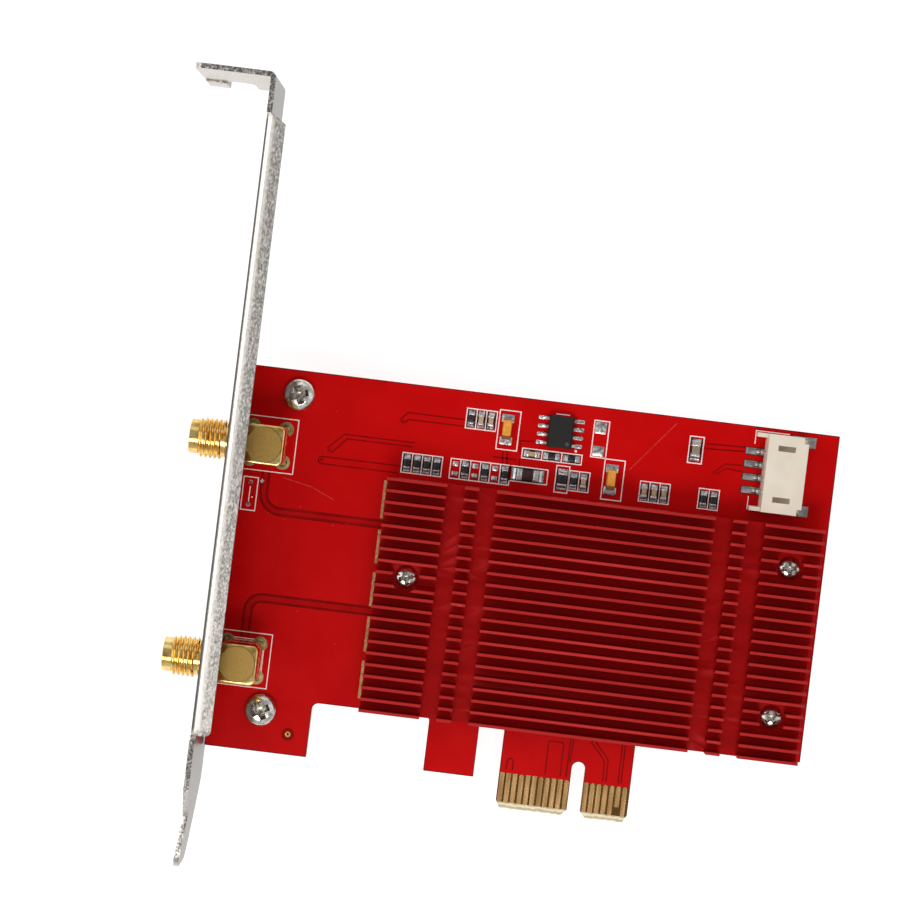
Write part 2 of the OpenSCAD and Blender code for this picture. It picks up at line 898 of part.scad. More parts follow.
module radio_module_board() {
    color("darkgreen")
        difference() {
            translate([0, 0, module_low]) linear_extrude(module_t) module_outline(0);
            translate([module_x, module_y, module_low - cut])
                cylinder(d = standoff_d + 2 * module_play, h = module_t + 2 * cut);
            block(
                [module_end - module_key_l, module_y + module_key_y - module_key_w / 2, module_low - cut],
                [module_end + cut, module_y + module_key_y + module_key_w / 2, module_high + cut]);
        }
}

module module_shield() {
    low_x = module_x + can_x;
    low_y = module_y - can_w / 2;
    color("lightgray")
        translate([0, 0, module_high])
            linear_extrude(can_h)
                polygon(rounded([
                    [low_x, low_y, can_corner],
                    [low_x + can_l, low_y, can_corner],
                    [low_x + can_l, low_y + can_w, can_corner],
                    [low_x, low_y + can_w, can_corner]
                ]));
}

module thermal_pad() {
    middle_x = module_x + can_x + can_l / 2;
    color("lightblue")
        block(
            [middle_x - pad_l / 2, module_y - pad_w / 2, can_top],
            [middle_x + pad_l / 2, module_y + pad_w / 2, sink_under]);
}

module module_slot() {
    half_w = module_w / 2 + slot_side;
    color("black")
        difference() {
            block([slot_start, module_y - half_w, face], [slot_end, module_y + half_w, face + slot_h]);
            translate([0, 0, module_low - module_play])
                linear_extrude(module_t + 2 * module_play) module_outline(module_play);
        }
}

module module_slot_contacts() {
    half_row = (slot_contact_count - 1) * slot_contact_pitch / 2;
    color("goldenrod")
        for (i = [0:slot_contact_count - 1])
            translate([slot_end, module_y - half_row + i * slot_contact_pitch, face])
                block([0, -slot_contact_w / 2, 0], [slot_contact_l, slot_contact_w / 2, slot_contact_t]);
}

// Square coaxial socket standing on the plane z = 0
module coaxial_socket(height) {
    translate([-socket_side / 2, -socket_side / 2, 0]) cube([socket_side, socket_side, height]);
}

module board_sockets() {
    color("gold")
        for (side = [-1, 1])
            translate([sink_left + board_socket_x, module_y + side * line_spread / 2, face])
                coaxial_socket(board_socket_h);
}

module module_sockets() {
    color("gold")
        for (side = [-1, 1])
            translate([module_x + module_socket_x, module_y + side * line_spread / 2, module_high])
                coaxial_socket(module_socket_h);
}

// Round plug on a socket, with an arm along +Y that grips the lead
module lead_plug() {
    cylinder(d = plug_d, h = plug_h);
    translate([0, plug_d / 2 + plug_arm_l, plug_h / 2])
        rotate([90, 0, 0])
            cylinder(d = plug_arm_d, h = plug_arm_l + plug_d / 2);
}

module lead_plugs() {
    color("gold")
        for (side = [0, 1])
            translate([0, module_y, 0])
                mirror([0, side, 0])
                    translate([0, line_spread / 2, 0]) {
                        translate([sink_left + board_socket_x, 0, face + board_socket_h]) lead_plug();
                        translate([module_x + module_socket_x, 0, module_high + module_socket_h])
                            lead_plug();
                    }
}

// Each lead turns back in half a circle from the board's plug to the module's plug
module antenna_leads() {
    from = [sink_left + board_socket_x, face + board_socket_h + plug_h / 2];
    to = [module_x + module_socket_x, module_high + module_socket_h + plug_h / 2];
    rise = atan2(to[1] - from[1], to[0] - from[0]);
    color("dimgray")
        for (side = [0, 1])
            translate([0, module_y, 0])
                mirror([0, side, 0])
                    translate([
                        (from[0] + to[0]) / 2,
                        line_spread / 2 + plug_d / 2 + plug_arm_l,
                        (from[1] + to[1]) / 2
                    ])
                        rotate([0, -rise, 0])
                            rotate_extrude(angle = 180)
                                translate([norm(to - from) / 2, 0]) circle(d = lead_d);
}

// Block, collar and barrel of one jack, with four legs through the board
module jack_body(y) {
    half = jack_block / 2;
    difference() {
        union() {
            translate([0, 0, face])
                linear_extrude(jack_h)
                    polygon([
                        [jack_x - half + jack_corner, y - half],
                        [jack_x + half - jack_corner, y - half],
                        [jack_x + half, y - half + jack_corner],
                        [jack_x + half, y + half - jack_corner],
                        [jack_x + half - jack_corner, y + half],
                        [jack_x - half + jack_corner, y + half],
                        [jack_x - half, y + half - jack_corner],
                        [jack_x - half, y - half + jack_corner]
                    ]);
            rod_x(plate_in + jack_collar_gap, jack_x, y, jack_axis_z, jack_collar_d);
            rod_x(thread_start, jack_x, y, jack_axis_z, jack_neck_d);
            translate([thread_end, y, jack_axis_z])
                rotate([0, 90, 0])
                    rotate_extrude()
                        polygon([
                            [0, 0],
                            [jack_thread_d / 2 - jack_thread_lead, 0],
                            [jack_thread_d / 2, jack_thread_lead],
                            [jack_thread_d / 2, jack_thread_l - jack_thread_lead],
                            [jack_thread_d / 2 - jack_thread_lead, jack_thread_l],
                            [0, jack_thread_l]
                        ]);
            rod_x(jack_end, thread_end + cut, y, jack_axis_z, jack_end_d);
            translate([jack_x, y, 0])
                jack_leg_places()
                    translate([-jack_leg / 2, -jack_leg / 2, under - jack_leg_tail])
                        cube([jack_leg, jack_leg, board_t + jack_leg_tail + cut]);
        }
        rod_x(jack_end - cut, jack_x, y, jack_axis_z, jack_bore_d);
        rod_x(jack_end - cut, jack_end + jack_mouth_l, y, jack_axis_z, jack_mouth_d);
        translate([jack_x, y, face - cut]) cylinder(d = jack_well_d, h = jack_h);
        translate([jack_x, y, jack_top - jack_cap_t]) cylinder(d = jack_cap_d, h = jack_cap_t + cut);
    }
}

module jack_cap(y) {
    translate([jack_x, y, jack_top - jack_cap_t])
        cylinder(d = jack_cap_d - 2 * jack_inner_play, h = jack_cap_t);
}

// Bent rod of a jack's centre contact, made wider all round by the given play
module contact_rod(y, play) {
    rod_x(jack_end + jack_mouth_l, jack_x, y, jack_axis_z, jack_pin_d + 2 * play);
    translate([jack_x, y, under - jack_leg_tail])
        cylinder(d = jack_pin_d + 2 * play, h = jack_axis_z - under + jack_leg_tail);
    translate([jack_x, y, jack_axis_z]) sphere(d = jack_pin_d + 2 * play);
}

module jack_contact(y) {
    contact_rod(y, 0);
    rod_x(jack_end + jack_tip_back, jack_end + jack_mouth_l + cut, y, jack_axis_z, jack_tip_d);
}

module jack_insulator(y) {
    difference() {
        union() {
            rod_x(jack_end + jack_mouth_l, jack_x, y, jack_axis_z, jack_bore_d - 2 * jack_inner_play);
            translate([jack_x, y, face])
                cylinder(
                    d = jack_well_d - 2 * jack_inner_play,
                    h = jack_axis_h + jack_pin_d / 2 + jack_insulator_cover);
        }
        contact_rod(y, jack_inner_play);
        rod_x(jack_end, jack_end + jack_mouth_l + cut, y, jack_axis_z, jack_pin_d + 2 * jack_inner_play);
    }
}

module header_housing() {
    arm_z = face + header_arm_h;
    half_row = (header_pin_count - 1) * header_pitch / 2;
    color("antiquewhite")
        difference() {
            union() {
                block([header_rear, header_low, face], [header_mouth, header_high, face + header_h]);
                block(
                    [header_rear - header_arm_l, header_low, face],
                    [header_rear, header_low + header_arm_t, arm_z]);
                block(
                    [header_rear - header_arm_l, header_high - header_arm_t, face],
                    [header_rear, header_high, arm_z]);
            }
            block(
                [header_rear + header_back, header_low + header_wall, face + header_roof],
                [header_mouth + cut, header_high - header_wall, face + header_h - header_roof]);
            for (side = [-1, 1])
                translate([header_rear + header_window_x, header_y + side * header_window_y, 0])
                    block(
                        [0, -header_window_w / 2, face + header_h / 2],
                        [header_window_l, header_window_w / 2, face + header_h + cut]);
            for (i = [0:header_pin_count - 1])
                translate([0, header_y - half_row + i * header_pitch, face + header_pin_z])
                    block(
                        [header_rear - cut, -header_pin / 2 - header_pin_play,
                            -header_pin / 2 - header_pin_play],
                        [header_rear + header_back + cut, header_pin / 2 + header_pin_play,
                            header_pin / 2 + header_pin_play]);
            for (side = [0, 1])
                translate([0, header_y, 0])
                    mirror([0, side, 0]) {
                        header_tab_shape(header_pin_play);
                        block(
                            [header_mouth - header_notch_l, header_w / 2 - header_notch_w,
                                face + header_tab_h],
                            [header_mouth + cut, header_w / 2 + cut, face + header_h + cut]);
                    }
        }
}

// Bent pins: each runs from the mouth through the rear wall and down to its foot
module header_pins() {
    half_row = (header_pin_count - 1) * header_pitch / 2;
    high = face + header_pin_z + header_pin / 2;
    low = face + header_pin_z - header_pin / 2;
    drop_out = header_rear - header_pin_gap - header_pin;
    drop_in = drop_out + header_pin;
    color("silver")
        for (i = [0:header_pin_count - 1])
            translate([0, header_y - half_row + i * header_pitch, 0])
                along_y(-header_pin / 2, header_pin / 2)
                    polygon(rounded([
                        [header_mouth - header_pin_tip, high],
                        [drop_out, high, header_pin_r * 2],
                        [drop_out, face + header_pin_foot_t, header_pin_r],
                        [drop_out - header_pin_foot_l, face + header_pin_foot_t],
                        [drop_out - header_pin_foot_l, face],
                        [drop_in, face, header_pin_r],
                        [drop_in, low, header_pin_r],
                        [header_mouth - header_pin_tip, low]
                    ]));
}

// Solder tab at one side of the mouth, made larger all round by the given play:
// a blade in the housing's side and a foot on the board
module header_tab_shape(play) {
    side_y = header_w / 2;
    block(
        [header_mouth - header_tab_l - play, side_y - header_tab_t - play, face - play],
        [header_mouth + play, side_y + play, face + header_tab_h + play]);
    block(
        [header_mouth - header_tab_t - play, side_y - header_tab_w - play, face - play],
        [header_mouth + header_tab_foot + play, side_y + play, face + header_tab_t + play]);
}

module header_solder_tabs() {
    color("lightgray")
        for (side = [0, 1])
            translate([0, header_y, 0]) mirror([0, side, 0]) header_tab_shape(0);
}

module memory_chip() {
    half_w = memory_w / 2;
    mid = face + memory_lift + memory_h / 2;
    color("darkslategray")
        along_y(memory_y - memory_l / 2, memory_y + memory_l / 2)
            polygon([
                [memory_x - half_w + memory_bevel / 2, face + memory_lift],
                [memory_x + half_w - memory_bevel / 2, face + memory_lift],
                [memory_x + half_w, mid - lead_t / 2],
                [memory_x + half_w, mid + lead_t / 2],
                [memory_x + half_w - memory_bevel, face + memory_lift + memory_h],
                [memory_x - half_w + memory_bevel, face + memory_lift + memory_h],
                [memory_x - half_w, mid + lead_t / 2],
                [memory_x - half_w, mid - lead_t / 2]
            ]);
}

// Gull-wing lead, from the side of the chip down to its foot on the board
module memory_chip_leads() {
    root = memory_w / 2;
    toe = root + lead_reach;
    knee = toe - lead_foot;
    mid = memory_lift + memory_h / 2;
    color("silver")
        for (side = [0, 1])
            for (i = [-1.5:1:1.5])
                translate([memory_x, memory_y + i * lead_pitch, face])
                    mirror([side, 0, 0])
                        along_y(-lead_w / 2, lead_w / 2)
                            polygon([
                                [root, mid + lead_t / 2],
                                [root, mid - lead_t / 2],
                                [knee - lead_t, mid - lead_t / 2],
                                [knee - lead_t / 2, 0],
                                [toe, 0],
                                [toe, lead_t],
                                [knee + lead_t / 2, lead_t],
                                [knee, mid + lead_t / 2]
                            ]);
}

// Ceramic chip with a plated cap over each end, lying along X
module chip(size) {
    length = size[0];
    width = size[1];
    height = size[2];
    end_l = size[3];
    block([-length / 2, -width / 2 + chip_end_proud, chip_end_proud],
        [length / 2, width / 2 - chip_end_proud, height - chip_end_proud]);
    for (side = [0, 1])
        mirror([side, 0, 0])
            block([length / 2 - end_l, -width / 2, 0], [length / 2, width / 2, height]);
}

module chip_at(place, size) {
    translate([place[0], place[1], face]) rotate([0, 0, 90 * place[2]]) chip(size);
}

module large_resistor() {
    color("black") chip_at([medium_chip_x, pair_row_y + medium_chip_lift, 1], medium_resistor);
}

module large_capacitor() {
    color("tan") chip_at([large_chip_x, board_top - large_chip_drop, 1], large_capacitor);
}

module fuse() {
    color("maroon") chip_at([fuse_x, fuse_y, 0], fuse_size);
}

// Moulded body, widest at its waist where the terminals leave it
module tantalum(x, y) {
    half_w = tantalum_w / 2;
    low = face + terminal_t;
    high = low + tantalum_h - terminal_t;
    along_y(y - tantalum_l / 2 + terminal_t, y + tantalum_l / 2 - terminal_t)
        polygon([
            [x - half_w + tantalum_draft, low],
            [x + half_w - tantalum_draft, low],
            [x + half_w, (low + high) / 2],
            [x + half_w - tantalum_draft, high],
            [x - half_w + tantalum_draft, high],
            [x - half_w, (low + high) / 2]
        ]);
}

module tantalum_terminals(x, y) {
    for (side = [0, 1])
        translate([x, y, face])
            mirror([0, side, 0]) {
                block(
                    [-terminal_w / 2, tantalum_l / 2 - terminal_foot, 0],
                    [terminal_w / 2, tantalum_l / 2, terminal_t]);
                block(
                    [-terminal_w / 2, tantalum_l / 2 - terminal_t, 0],
                    [terminal_w / 2, tantalum_l / 2, tantalum_h / 2]);
            }
}

module left_tantalum() {
    color("orange") tantalum(left_tantalum_x, left_tantalum_y);
}

module left_tantalum_terminals() {
    color("silver") tantalum_terminals(left_tantalum_x, left_tantalum_y);
}

module right_tantalum() {
    color("orange") tantalum(right_tantalum_x, right_tantalum_y);
}

module right_tantalum_terminals() {
    color("silver") tantalum_terminals(right_tantalum_x, right_tantalum_y);
}

module upper_jack_body() {
    color("gold") jack_body(upper_jack_y);
}

module upper_jack_cap() {
    color("darkgoldenrod") jack_cap(upper_jack_y);
}

module upper_jack_insulator() {
    color("white") jack_insulator(upper_jack_y);
}

module upper_jack_contact() {
    color("gold") jack_contact(upper_jack_y);
}

module lower_jack_body() {
    color("gold") jack_body(lower_jack_y);
}

module lower_jack_cap() {
    color("darkgoldenrod") jack_cap(lower_jack_y);
}

module lower_jack_insulator() {
    color("white") jack_insulator(lower_jack_y);
}

module lower_jack_contact() {
    color("gold") jack_contact(lower_jack_y);
}

bracket();
bracket_screws();
circuit_board();
edge_contacts_front();
edge_contacts_back();
heatsink();
heatsink_screws();
heatsink_standoffs();
thermal_pad();
radio_module_board();
module_shield();
module_sockets();
module_slot();
module_slot_contacts();
board_sockets();
lead_plugs();
antenna_leads();
upper_jack_body();
upper_jack_cap();
upper_jack_insulator();
upper_jack_contact();
lower_jack_body();
lower_jack_cap();
lower_jack_insulator();
lower_jack_contact();
header_housing();
header_pins();
header_solder_tabs();
memory_chip();
memory_chip_leads();
left_tantalum();
left_tantalum_terminals();
right_tantalum();
right_tantalum_terminals();
fuse();
large_resistor();
large_capacitor();
for (i = [0:len(resistor_places) - 1])
    color("black") chip_at(resistor_places[i], small_resistor);
for (i = [0:len(capacitor_places) - 1])
    color("tan") chip_at(capacitor_places[i], small_capacitor);
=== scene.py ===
import math
import bmesh
import bpy
from mathutils import Matrix, Vector


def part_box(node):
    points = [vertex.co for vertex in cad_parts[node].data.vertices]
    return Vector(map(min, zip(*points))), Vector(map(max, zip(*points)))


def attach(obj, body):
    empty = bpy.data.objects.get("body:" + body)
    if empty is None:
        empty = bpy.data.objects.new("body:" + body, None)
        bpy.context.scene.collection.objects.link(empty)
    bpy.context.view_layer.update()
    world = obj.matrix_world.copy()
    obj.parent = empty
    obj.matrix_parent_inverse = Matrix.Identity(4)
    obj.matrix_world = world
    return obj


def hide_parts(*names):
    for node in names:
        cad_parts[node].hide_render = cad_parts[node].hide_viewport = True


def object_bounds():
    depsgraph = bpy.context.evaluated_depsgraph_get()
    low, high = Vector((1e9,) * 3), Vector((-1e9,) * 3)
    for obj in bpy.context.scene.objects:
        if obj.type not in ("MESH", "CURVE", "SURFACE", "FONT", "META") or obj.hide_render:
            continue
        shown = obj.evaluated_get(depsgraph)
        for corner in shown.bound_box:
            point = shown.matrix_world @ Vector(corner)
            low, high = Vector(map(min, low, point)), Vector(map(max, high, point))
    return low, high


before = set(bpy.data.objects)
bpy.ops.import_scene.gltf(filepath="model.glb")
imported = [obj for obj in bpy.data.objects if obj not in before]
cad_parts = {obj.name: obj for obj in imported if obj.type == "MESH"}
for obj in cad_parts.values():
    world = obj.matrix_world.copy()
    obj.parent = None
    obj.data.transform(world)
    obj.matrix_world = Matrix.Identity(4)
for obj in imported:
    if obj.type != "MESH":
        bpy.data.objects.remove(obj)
cad_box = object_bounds()


# Studio: the card lies on the wings of its bracket on a white table that glows faintly, between
# large soft boxes. The key box, off to the side of the contact edge, draws the shadows between the
# fins. The camera hangs over the component side, a little turned, as in the photograph.
MM = 0.001
BOARD_FACE = 0.8
CAMERA_HEIGHT = 430
CAMERA_OVER = (-19.4, 61.5)
CAMERA_TURN = 7.02
LAMP_AIM = Vector((-20, 45, 0))
TABLE_HALF = 1500
TABLE_GRAIN = 40


def linear(colour):
    """Linear colour of an sRGB hex value."""
    parts = [int(colour[i:i + 2], 16) / 255 for i in (1, 3, 5)]
    return (*[c / 12.92 if c <= 0.04045 else ((c + 0.055) / 1.055) ** 2.4 for c in parts], 1.0)


def add(tree, kind, feeds=None, **settings):
    """New shader node; feeds are values or driving sockets, keyed by an input's name or number."""
    node = tree.nodes.new(kind)
    for name, value in settings.items():
        setattr(node, name, value)
    for name, value in (feeds or {}).items():
        if isinstance(value, bpy.types.NodeSocket):
            tree.links.new(value, node.inputs[name])
        else:
            node.inputs[name].default_value = value
    return node


def surface(name, tones, gloss, grain, relief=0.0, metallic=0.0, stretch=(1, 1, 1), **fixed):
    """Finish whose tone, gloss and height wander over grains of a real size in millimetres."""
    material = bpy.data.materials.new(name)
    material.use_nodes = True
    tree = material.node_tree
    shader = tree.nodes["Principled BSDF"]
    shader.inputs["Metallic"].default_value = metallic
    for socket, value in fixed.items():
        shader.inputs[socket.replace("_", " ").title().replace("Ior", "IOR")].default_value = value
    place = add(tree, "ShaderNodeTexCoord").outputs["Object"]
    drawn = add(tree, "ShaderNodeMapping", {"Vector": place, "Scale": stretch}).outputs[0]
    speck = add(tree, "ShaderNodeTexNoise", {"Vector": drawn, "Scale": 1 / (grain * MM), "Detail": 5.0})
    # Most of the noise lies between 0.32 and 0.68, so that range is spread over both tones.
    share = add(tree, "ShaderNodeMapRange", {0: speck.outputs[0], 1: 0.32, 2: 0.68}).outputs[0]
    dark, light = [linear(tone) for tone in tones]
    tone = add(tree, "ShaderNodeMix", {0: share, 6: dark, 7: light}, data_type="RGBA")
    rough = add(tree, "ShaderNodeMapRange", {0: share, 3: gloss[0], 4: gloss[1]})
    tree.links.new(tone.outputs[2], shader.inputs["Base Color"])
    tree.links.new(rough.outputs[0], shader.inputs["Roughness"])
    if relief:
        bump = add(tree, "ShaderNodeBump", {"Height": share, "Distance": relief * MM, "Strength": 1.0})
        tree.links.new(bump.outputs[0], shader.inputs["Normal"])
    return material


def soft_box(name, place, size, power):
    """White lamp with a rectangular cloth front, aimed at the card."""
    lamp = bpy.data.lights.new(name, "AREA")
    lamp.shape = "RECTANGLE"
    lamp.size, lamp.size_y = size[0] * MM, size[1] * MM
    lamp.energy = power
    light = bpy.data.objects.new(name, lamp)
    light.location = Vector(place) * MM
    light.rotation_euler = (LAMP_AIM - Vector(place)).to_track_quat("-Z", "Y").to_euler()
    bpy.context.scene.collection.objects.link(light)


camera = bpy.data.objects.new("camera", bpy.data.cameras.new("camera"))
camera.location = Vector((*CAMERA_OVER, BOARD_FACE + CAMERA_HEIGHT)) * MM
camera.rotation_euler = (0, 0, math.radians(CAMERA_TURN))
camera.data.lens = 112
camera.data.sensor_width = 36
camera.data.shift_x = -0.0511
camera.data.shift_y = -0.0511
camera.data.clip_start = 10 * MM
camera.data.clip_end = 10000 * MM
bpy.context.scene.collection.objects.link(camera)
bpy.context.scene.camera = camera
bpy.context.scene.view_settings.view_transform = "Standard"

world = bpy.data.worlds.new("studio")
world.use_nodes = True
room = world.node_tree
sky = room.nodes["Background"]
bearing = add(room, "ShaderNodeTexCoord").outputs[0]
upward = add(room, "ShaderNodeSeparateXYZ", {0: bearing}).outputs["Z"]
walls = add(
    room, "ShaderNodeMapRange", {0: upward, 1: 0.4, 2: 0.9, 3: 0.62, 4: 0.42},
    interpolation_type="SMOOTHSTEP").outputs[0]
overhead = add(
    room, "ShaderNodeMapRange", {0: upward, 1: 0.93, 2: 0.99, 3: 1.0, 4: 0.75},
    interpolation_type="SMOOTHSTEP").outputs[0]
glow = add(room, "ShaderNodeMath", {0: walls, 1: overhead}, operation="MULTIPLY").outputs[0]
room.links.new(glow, sky.inputs["Strength"])
sky.inputs["Color"].default_value = linear("#F6F7FA")
bpy.context.scene.world = world

soft_box("key_box", (-20, -340, 680), (420, 240), 2.1)
soft_box("left_box", (-560, 60, 500), (620, 700), 1.6)
soft_box("right_box", (560, 120, 520), (420, 600), 0.4)
soft_box("back_box", (-20, 640, 480), (700, 320), 0.3)

table_low = cad_box[0].z / MM
bm = bmesh.new()
bmesh.ops.create_grid(bm, x_segments=1, y_segments=1, size=TABLE_HALF * MM)
bmesh.ops.translate(bm, vec=(0, 0, table_low * MM), verts=bm.verts)
mesh = bpy.data.meshes.new("table")
bm.to_mesh(mesh)
bm.free()
mesh.materials.append(surface(
    "white_card", ("#A2A2A2", "#A6A6A6"), (0.7, 0.85), TABLE_GRAIN,
    emission_color=linear("#FFFFFF"), emission_strength=0.82))
table = bpy.data.objects.new("table", mesh)
bpy.context.scene.collection.objects.link(table)


# Bracket: one blank of cold-rolled steel, cut, folded and tapped, then barrel plated in nickel.
# The plating follows the pitted sheet, so its flats are speckled; sheared edges stay dark. A highlight is
# painted on the fold, with painted shade under it and on the face of the plate that looks along X.
SHARP_ANGLE = 35


def piece(name, bm, finishes, replaced=()):
    """Named piece from a mesh drawn in millimetres; it rides on the card."""
    bmesh.ops.scale(bm, vec=(MM, MM, MM), verts=bm.verts)
    mesh = bpy.data.meshes.new(name)
    bm.to_mesh(mesh)
    bm.free()
    mesh.shade_smooth()
    mesh.set_sharp_from_angle(angle=math.radians(SHARP_ANGLE))
    for finish in finishes:
        mesh.materials.append(finish)
    made = bpy.data.objects.new(name, mesh)
    bpy.context.scene.collection.objects.link(made)
    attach(made, "root")
    if replaced:
        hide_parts(*replaced)
    return made


def new_faces(bm, before, finish):
    """Gives one finish to the faces that weren't there before."""
    for face in bm.faces:
        if face not in before:
            face.material_index = finish


def block(bm, low, high, edge=0.0, steps=2, finish=0):
    """Box between two opposite corners, its edges rounded where edge is given."""
    before = set(bm.faces)
    size = [h - l for l, h in zip(low, high)]
    middle = [(h + l) / 2 for l, h in zip(low, high)]
    form = Matrix.Translation(middle) @ Matrix.Diagonal((*size, 1))
    made = bmesh.ops.create_cube(bm, size=1, matrix=form)["verts"]
    if edge:
        sides = list(dict.fromkeys(side for vert in made for side in vert.link_edges))
        bmesh.ops.bevel(
            bm, geom=sides, offset=edge, offset_type="OFFSET", segments=steps, profile=0.5,
            affect="EDGES", material=-1)
    new_faces(bm, before, finish)


def corners(node):
    """Lowest and highest corner of a node in millimetres."""
    return [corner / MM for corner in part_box(node)]


def softened(node, finish, edge, steps=2):
    """The node's own shape with its sharp edges broken by a small round."""
    bm = bmesh.new()
    bm.from_mesh(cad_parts[node].data)
    bmesh.ops.scale(bm, vec=(1 / MM, 1 / MM, 1 / MM), verts=bm.verts)
    bmesh.ops.remove_doubles(bm, verts=bm.verts, dist=0.001)
    bmesh.ops.dissolve_limit(bm, angle_limit=math.radians(0.5), verts=bm.verts, edges=bm.edges)
    made = piece(node + "_finished", bm, [finish], (node,))
    rounds = made.modifiers.new("broken_edges", "BEVEL")
    rounds.width = edge * MM
    rounds.segments = steps
    rounds.limit_method = "ANGLE"
    rounds.angle_limit = math.radians(40)
    rounds.harden_normals = True
    return made


def dress(finish, *nodes):
    """Puts a finish on nodes whose CAD shape is kept."""
    for node in nodes:
        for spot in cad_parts[node].material_slots:
            spot.material = finish


FLANGE_ENDS = (7.2, 100.4)
FOLD_END = -57.3


def plated_steel():
    """Speckled nickel with dark sheared edges, a painted highlight on the fold, and painted shade under the
    fold and on the plate's side.
    """
    material = surface(
        "nickel_plate", ("#A09A92", "#E6E0D8"), (0.28, 0.44), 0.22,
        relief=0.003, metallic=1.0, stretch=(1, 0.5, 1))
    tree = material.node_tree
    shader = tree.nodes["Principled BSDF"]
    plated = shader.inputs["Base Color"].links[0].from_socket
    coords = add(tree, "ShaderNodeTexCoord")
    place = add(tree, "ShaderNodeSeparateXYZ", {0: coords.outputs["Object"]})
    facing = add(tree, "ShaderNodeSeparateXYZ", {0: coords.outputs["Normal"]})
    slope = facing.outputs["Z"]
    low_y, high_y = [end * MM for end in FLANGE_ENDS]
    above = add(tree, "ShaderNodeMapRange", {0: place.outputs["Y"], 1: low_y, 2: low_y + MM}).outputs[0]
    below = add(tree, "ShaderNodeMapRange", {0: place.outputs["Y"], 1: high_y, 2: high_y - MM}).outputs[0]
    flange = add(tree, "ShaderNodeMath", {0: above, 1: below}, operation="MULTIPLY").outputs[0]
    # Painted highlight: the tilted faces of the fold, where it turns into the flange, are painted near white.
    inward = add(tree, "ShaderNodeMapRange", {
        0: place.outputs["X"], 1: (FOLD_END + 0.4) * MM, 2: FOLD_END * MM}).outputs[0]
    rounded = add(tree, "ShaderNodeMapRange", {0: slope, 1: 0.72, 2: 0.86}).outputs[0]
    drawn = add(tree, "ShaderNodeMath", {0: inward, 1: rounded}, operation="MULTIPLY").outputs[0]
    bright = add(tree, "ShaderNodeMath", {0: drawn, 1: flange}, operation="MULTIPLY").outputs[0]
    level = add(tree, "ShaderNodeMapRange", {0: slope, 1: 0.85, 2: 0.97, 4: 0.6}).outputs[0]
    off_flange = add(tree, "ShaderNodeMath", {0: 1.0, 1: flange}, operation="SUBTRACT").outputs[0]
    torn = add(tree, "ShaderNodeTexNoise", {
        "Vector": coords.outputs["Object"], "Scale": 2.8 / MM, "Detail": 3.0}).outputs[0]
    patches = add(tree, "ShaderNodeMapRange", {0: torn, 1: 0.6, 2: 0.4, 3: 0.0, 4: 1.4}).outputs[0]
    edge = add(tree, "ShaderNodeMath", {0: level, 1: off_flange}, operation="MULTIPLY").outputs[0]
    sheared = add(
        tree, "ShaderNodeMath", {0: edge, 1: patches}, operation="MULTIPLY", use_clamp=True).outputs[0]
    # Painted shade: a dark stripe on the steep faces under the fold.
    steep = add(tree, "ShaderNodeMapRange", {0: slope, 1: 0.03, 2: 0.12, 4: 0.95}).outputs[0]
    shallow = add(tree, "ShaderNodeMapRange", {0: slope, 1: 0.84, 2: 0.7, 4: 0.95}).outputs[0]
    lower_fold = add(tree, "ShaderNodeMath", {0: steep, 1: shallow}, operation="MINIMUM").outputs[0]
    fold_shade = add(tree, "ShaderNodeMath", {0: lower_fold, 1: flange}, operation="MULTIPLY").outputs[0]
    # Painted shade: the faces of the plate that look along X are painted darker.
    side = add(tree, "ShaderNodeMapRange", {0: facing.outputs["X"], 1: 0.75, 2: 0.95, 4: 0.8}).outputs[0]
    tone = plated
    shades = ((bright, "#F7F0E6"), (sheared, "#4E4843"), (fold_shade, "#38332E"), (side, "#716C66"))
    for share, shade in shades:
        tone = add(tree, "ShaderNodeMix", {0: share, 6: tone, 7: linear(shade)}, data_type="RGBA").outputs[2]
    tree.links.new(tone, shader.inputs["Base Color"])
    return material


nickel_plate = plated_steel()
softened("bracket", nickel_plate, 0.12)

# The rib that stiffens the top tab.
low, high = corners("bracket")
bm = bmesh.new()
block(bm, (low.x + 0.15, high.y - 1.2, low.z + 0.4), (low.x + 3.5, high.y - 0.75, 0.1), 0.14, 3)
piece("bracket_tab_rib", bm, [nickel_plate])


# Screws: cold-headed steel with a domed head and a cross recess, plated in bright nickel.
# The recess is rougher, and painted darker as the shade inside it. The two by the bracket reach through the
# tapped tabs.
def turned(bm, profile, place, steps=40, finish=0):
    """Solid of revolution from [radius, height] points, set in place by a matrix."""
    faces, verts = set(bm.faces), set(bm.verts)
    row = [bm.verts.new((r, 0, z)) for r, z in profile]
    line = [bm.edges.new(pair) for pair in zip(row, row[1:])]
    bmesh.ops.spin(
        bm, geom=row + line, cent=(0, 0, 0), axis=(0, 0, 1), angle=2 * math.pi, steps=steps, use_merge=True)
    made = [vert for vert in bm.verts if vert not in verts]
    bmesh.ops.remove_doubles(bm, verts=made, dist=1e-5)
    made = [vert for vert in bm.verts if vert not in verts]
    bmesh.ops.recalc_face_normals(bm, faces=[face for face in bm.faces if face not in faces])
    bmesh.ops.transform(bm, matrix=place, verts=made)
    new_faces(bm, faces, finish)


def thread(bm, crest, pitch, turns, depth, place, steps=32):
    """Helical ridge whose foot is sunk in the core that it stands on."""
    faces, verts = set(bm.faces), set(bm.verts)
    root = crest - depth - 0.05
    tooth = [(root, 0.02 * pitch), (root, 0.9 * pitch), (crest, 0.54 * pitch), (crest, 0.4 * pitch)]
    loop = bm.faces.new([bm.verts.new((r, 0, z)) for r, z in tooth])
    count = int(turns * steps)
    bmesh.ops.spin(
        bm, geom=[loop], cent=(0, 0, 0), axis=(0, 0, 1), dvec=(0, 0, pitch / steps),
        angle=2 * math.pi * turns, steps=count)
    made = [vert for vert in bm.verts if vert not in verts]
    bmesh.ops.recalc_face_normals(bm, faces=[face for face in bm.faces if face not in faces])
    bmesh.ops.transform(bm, matrix=place, verts=made)


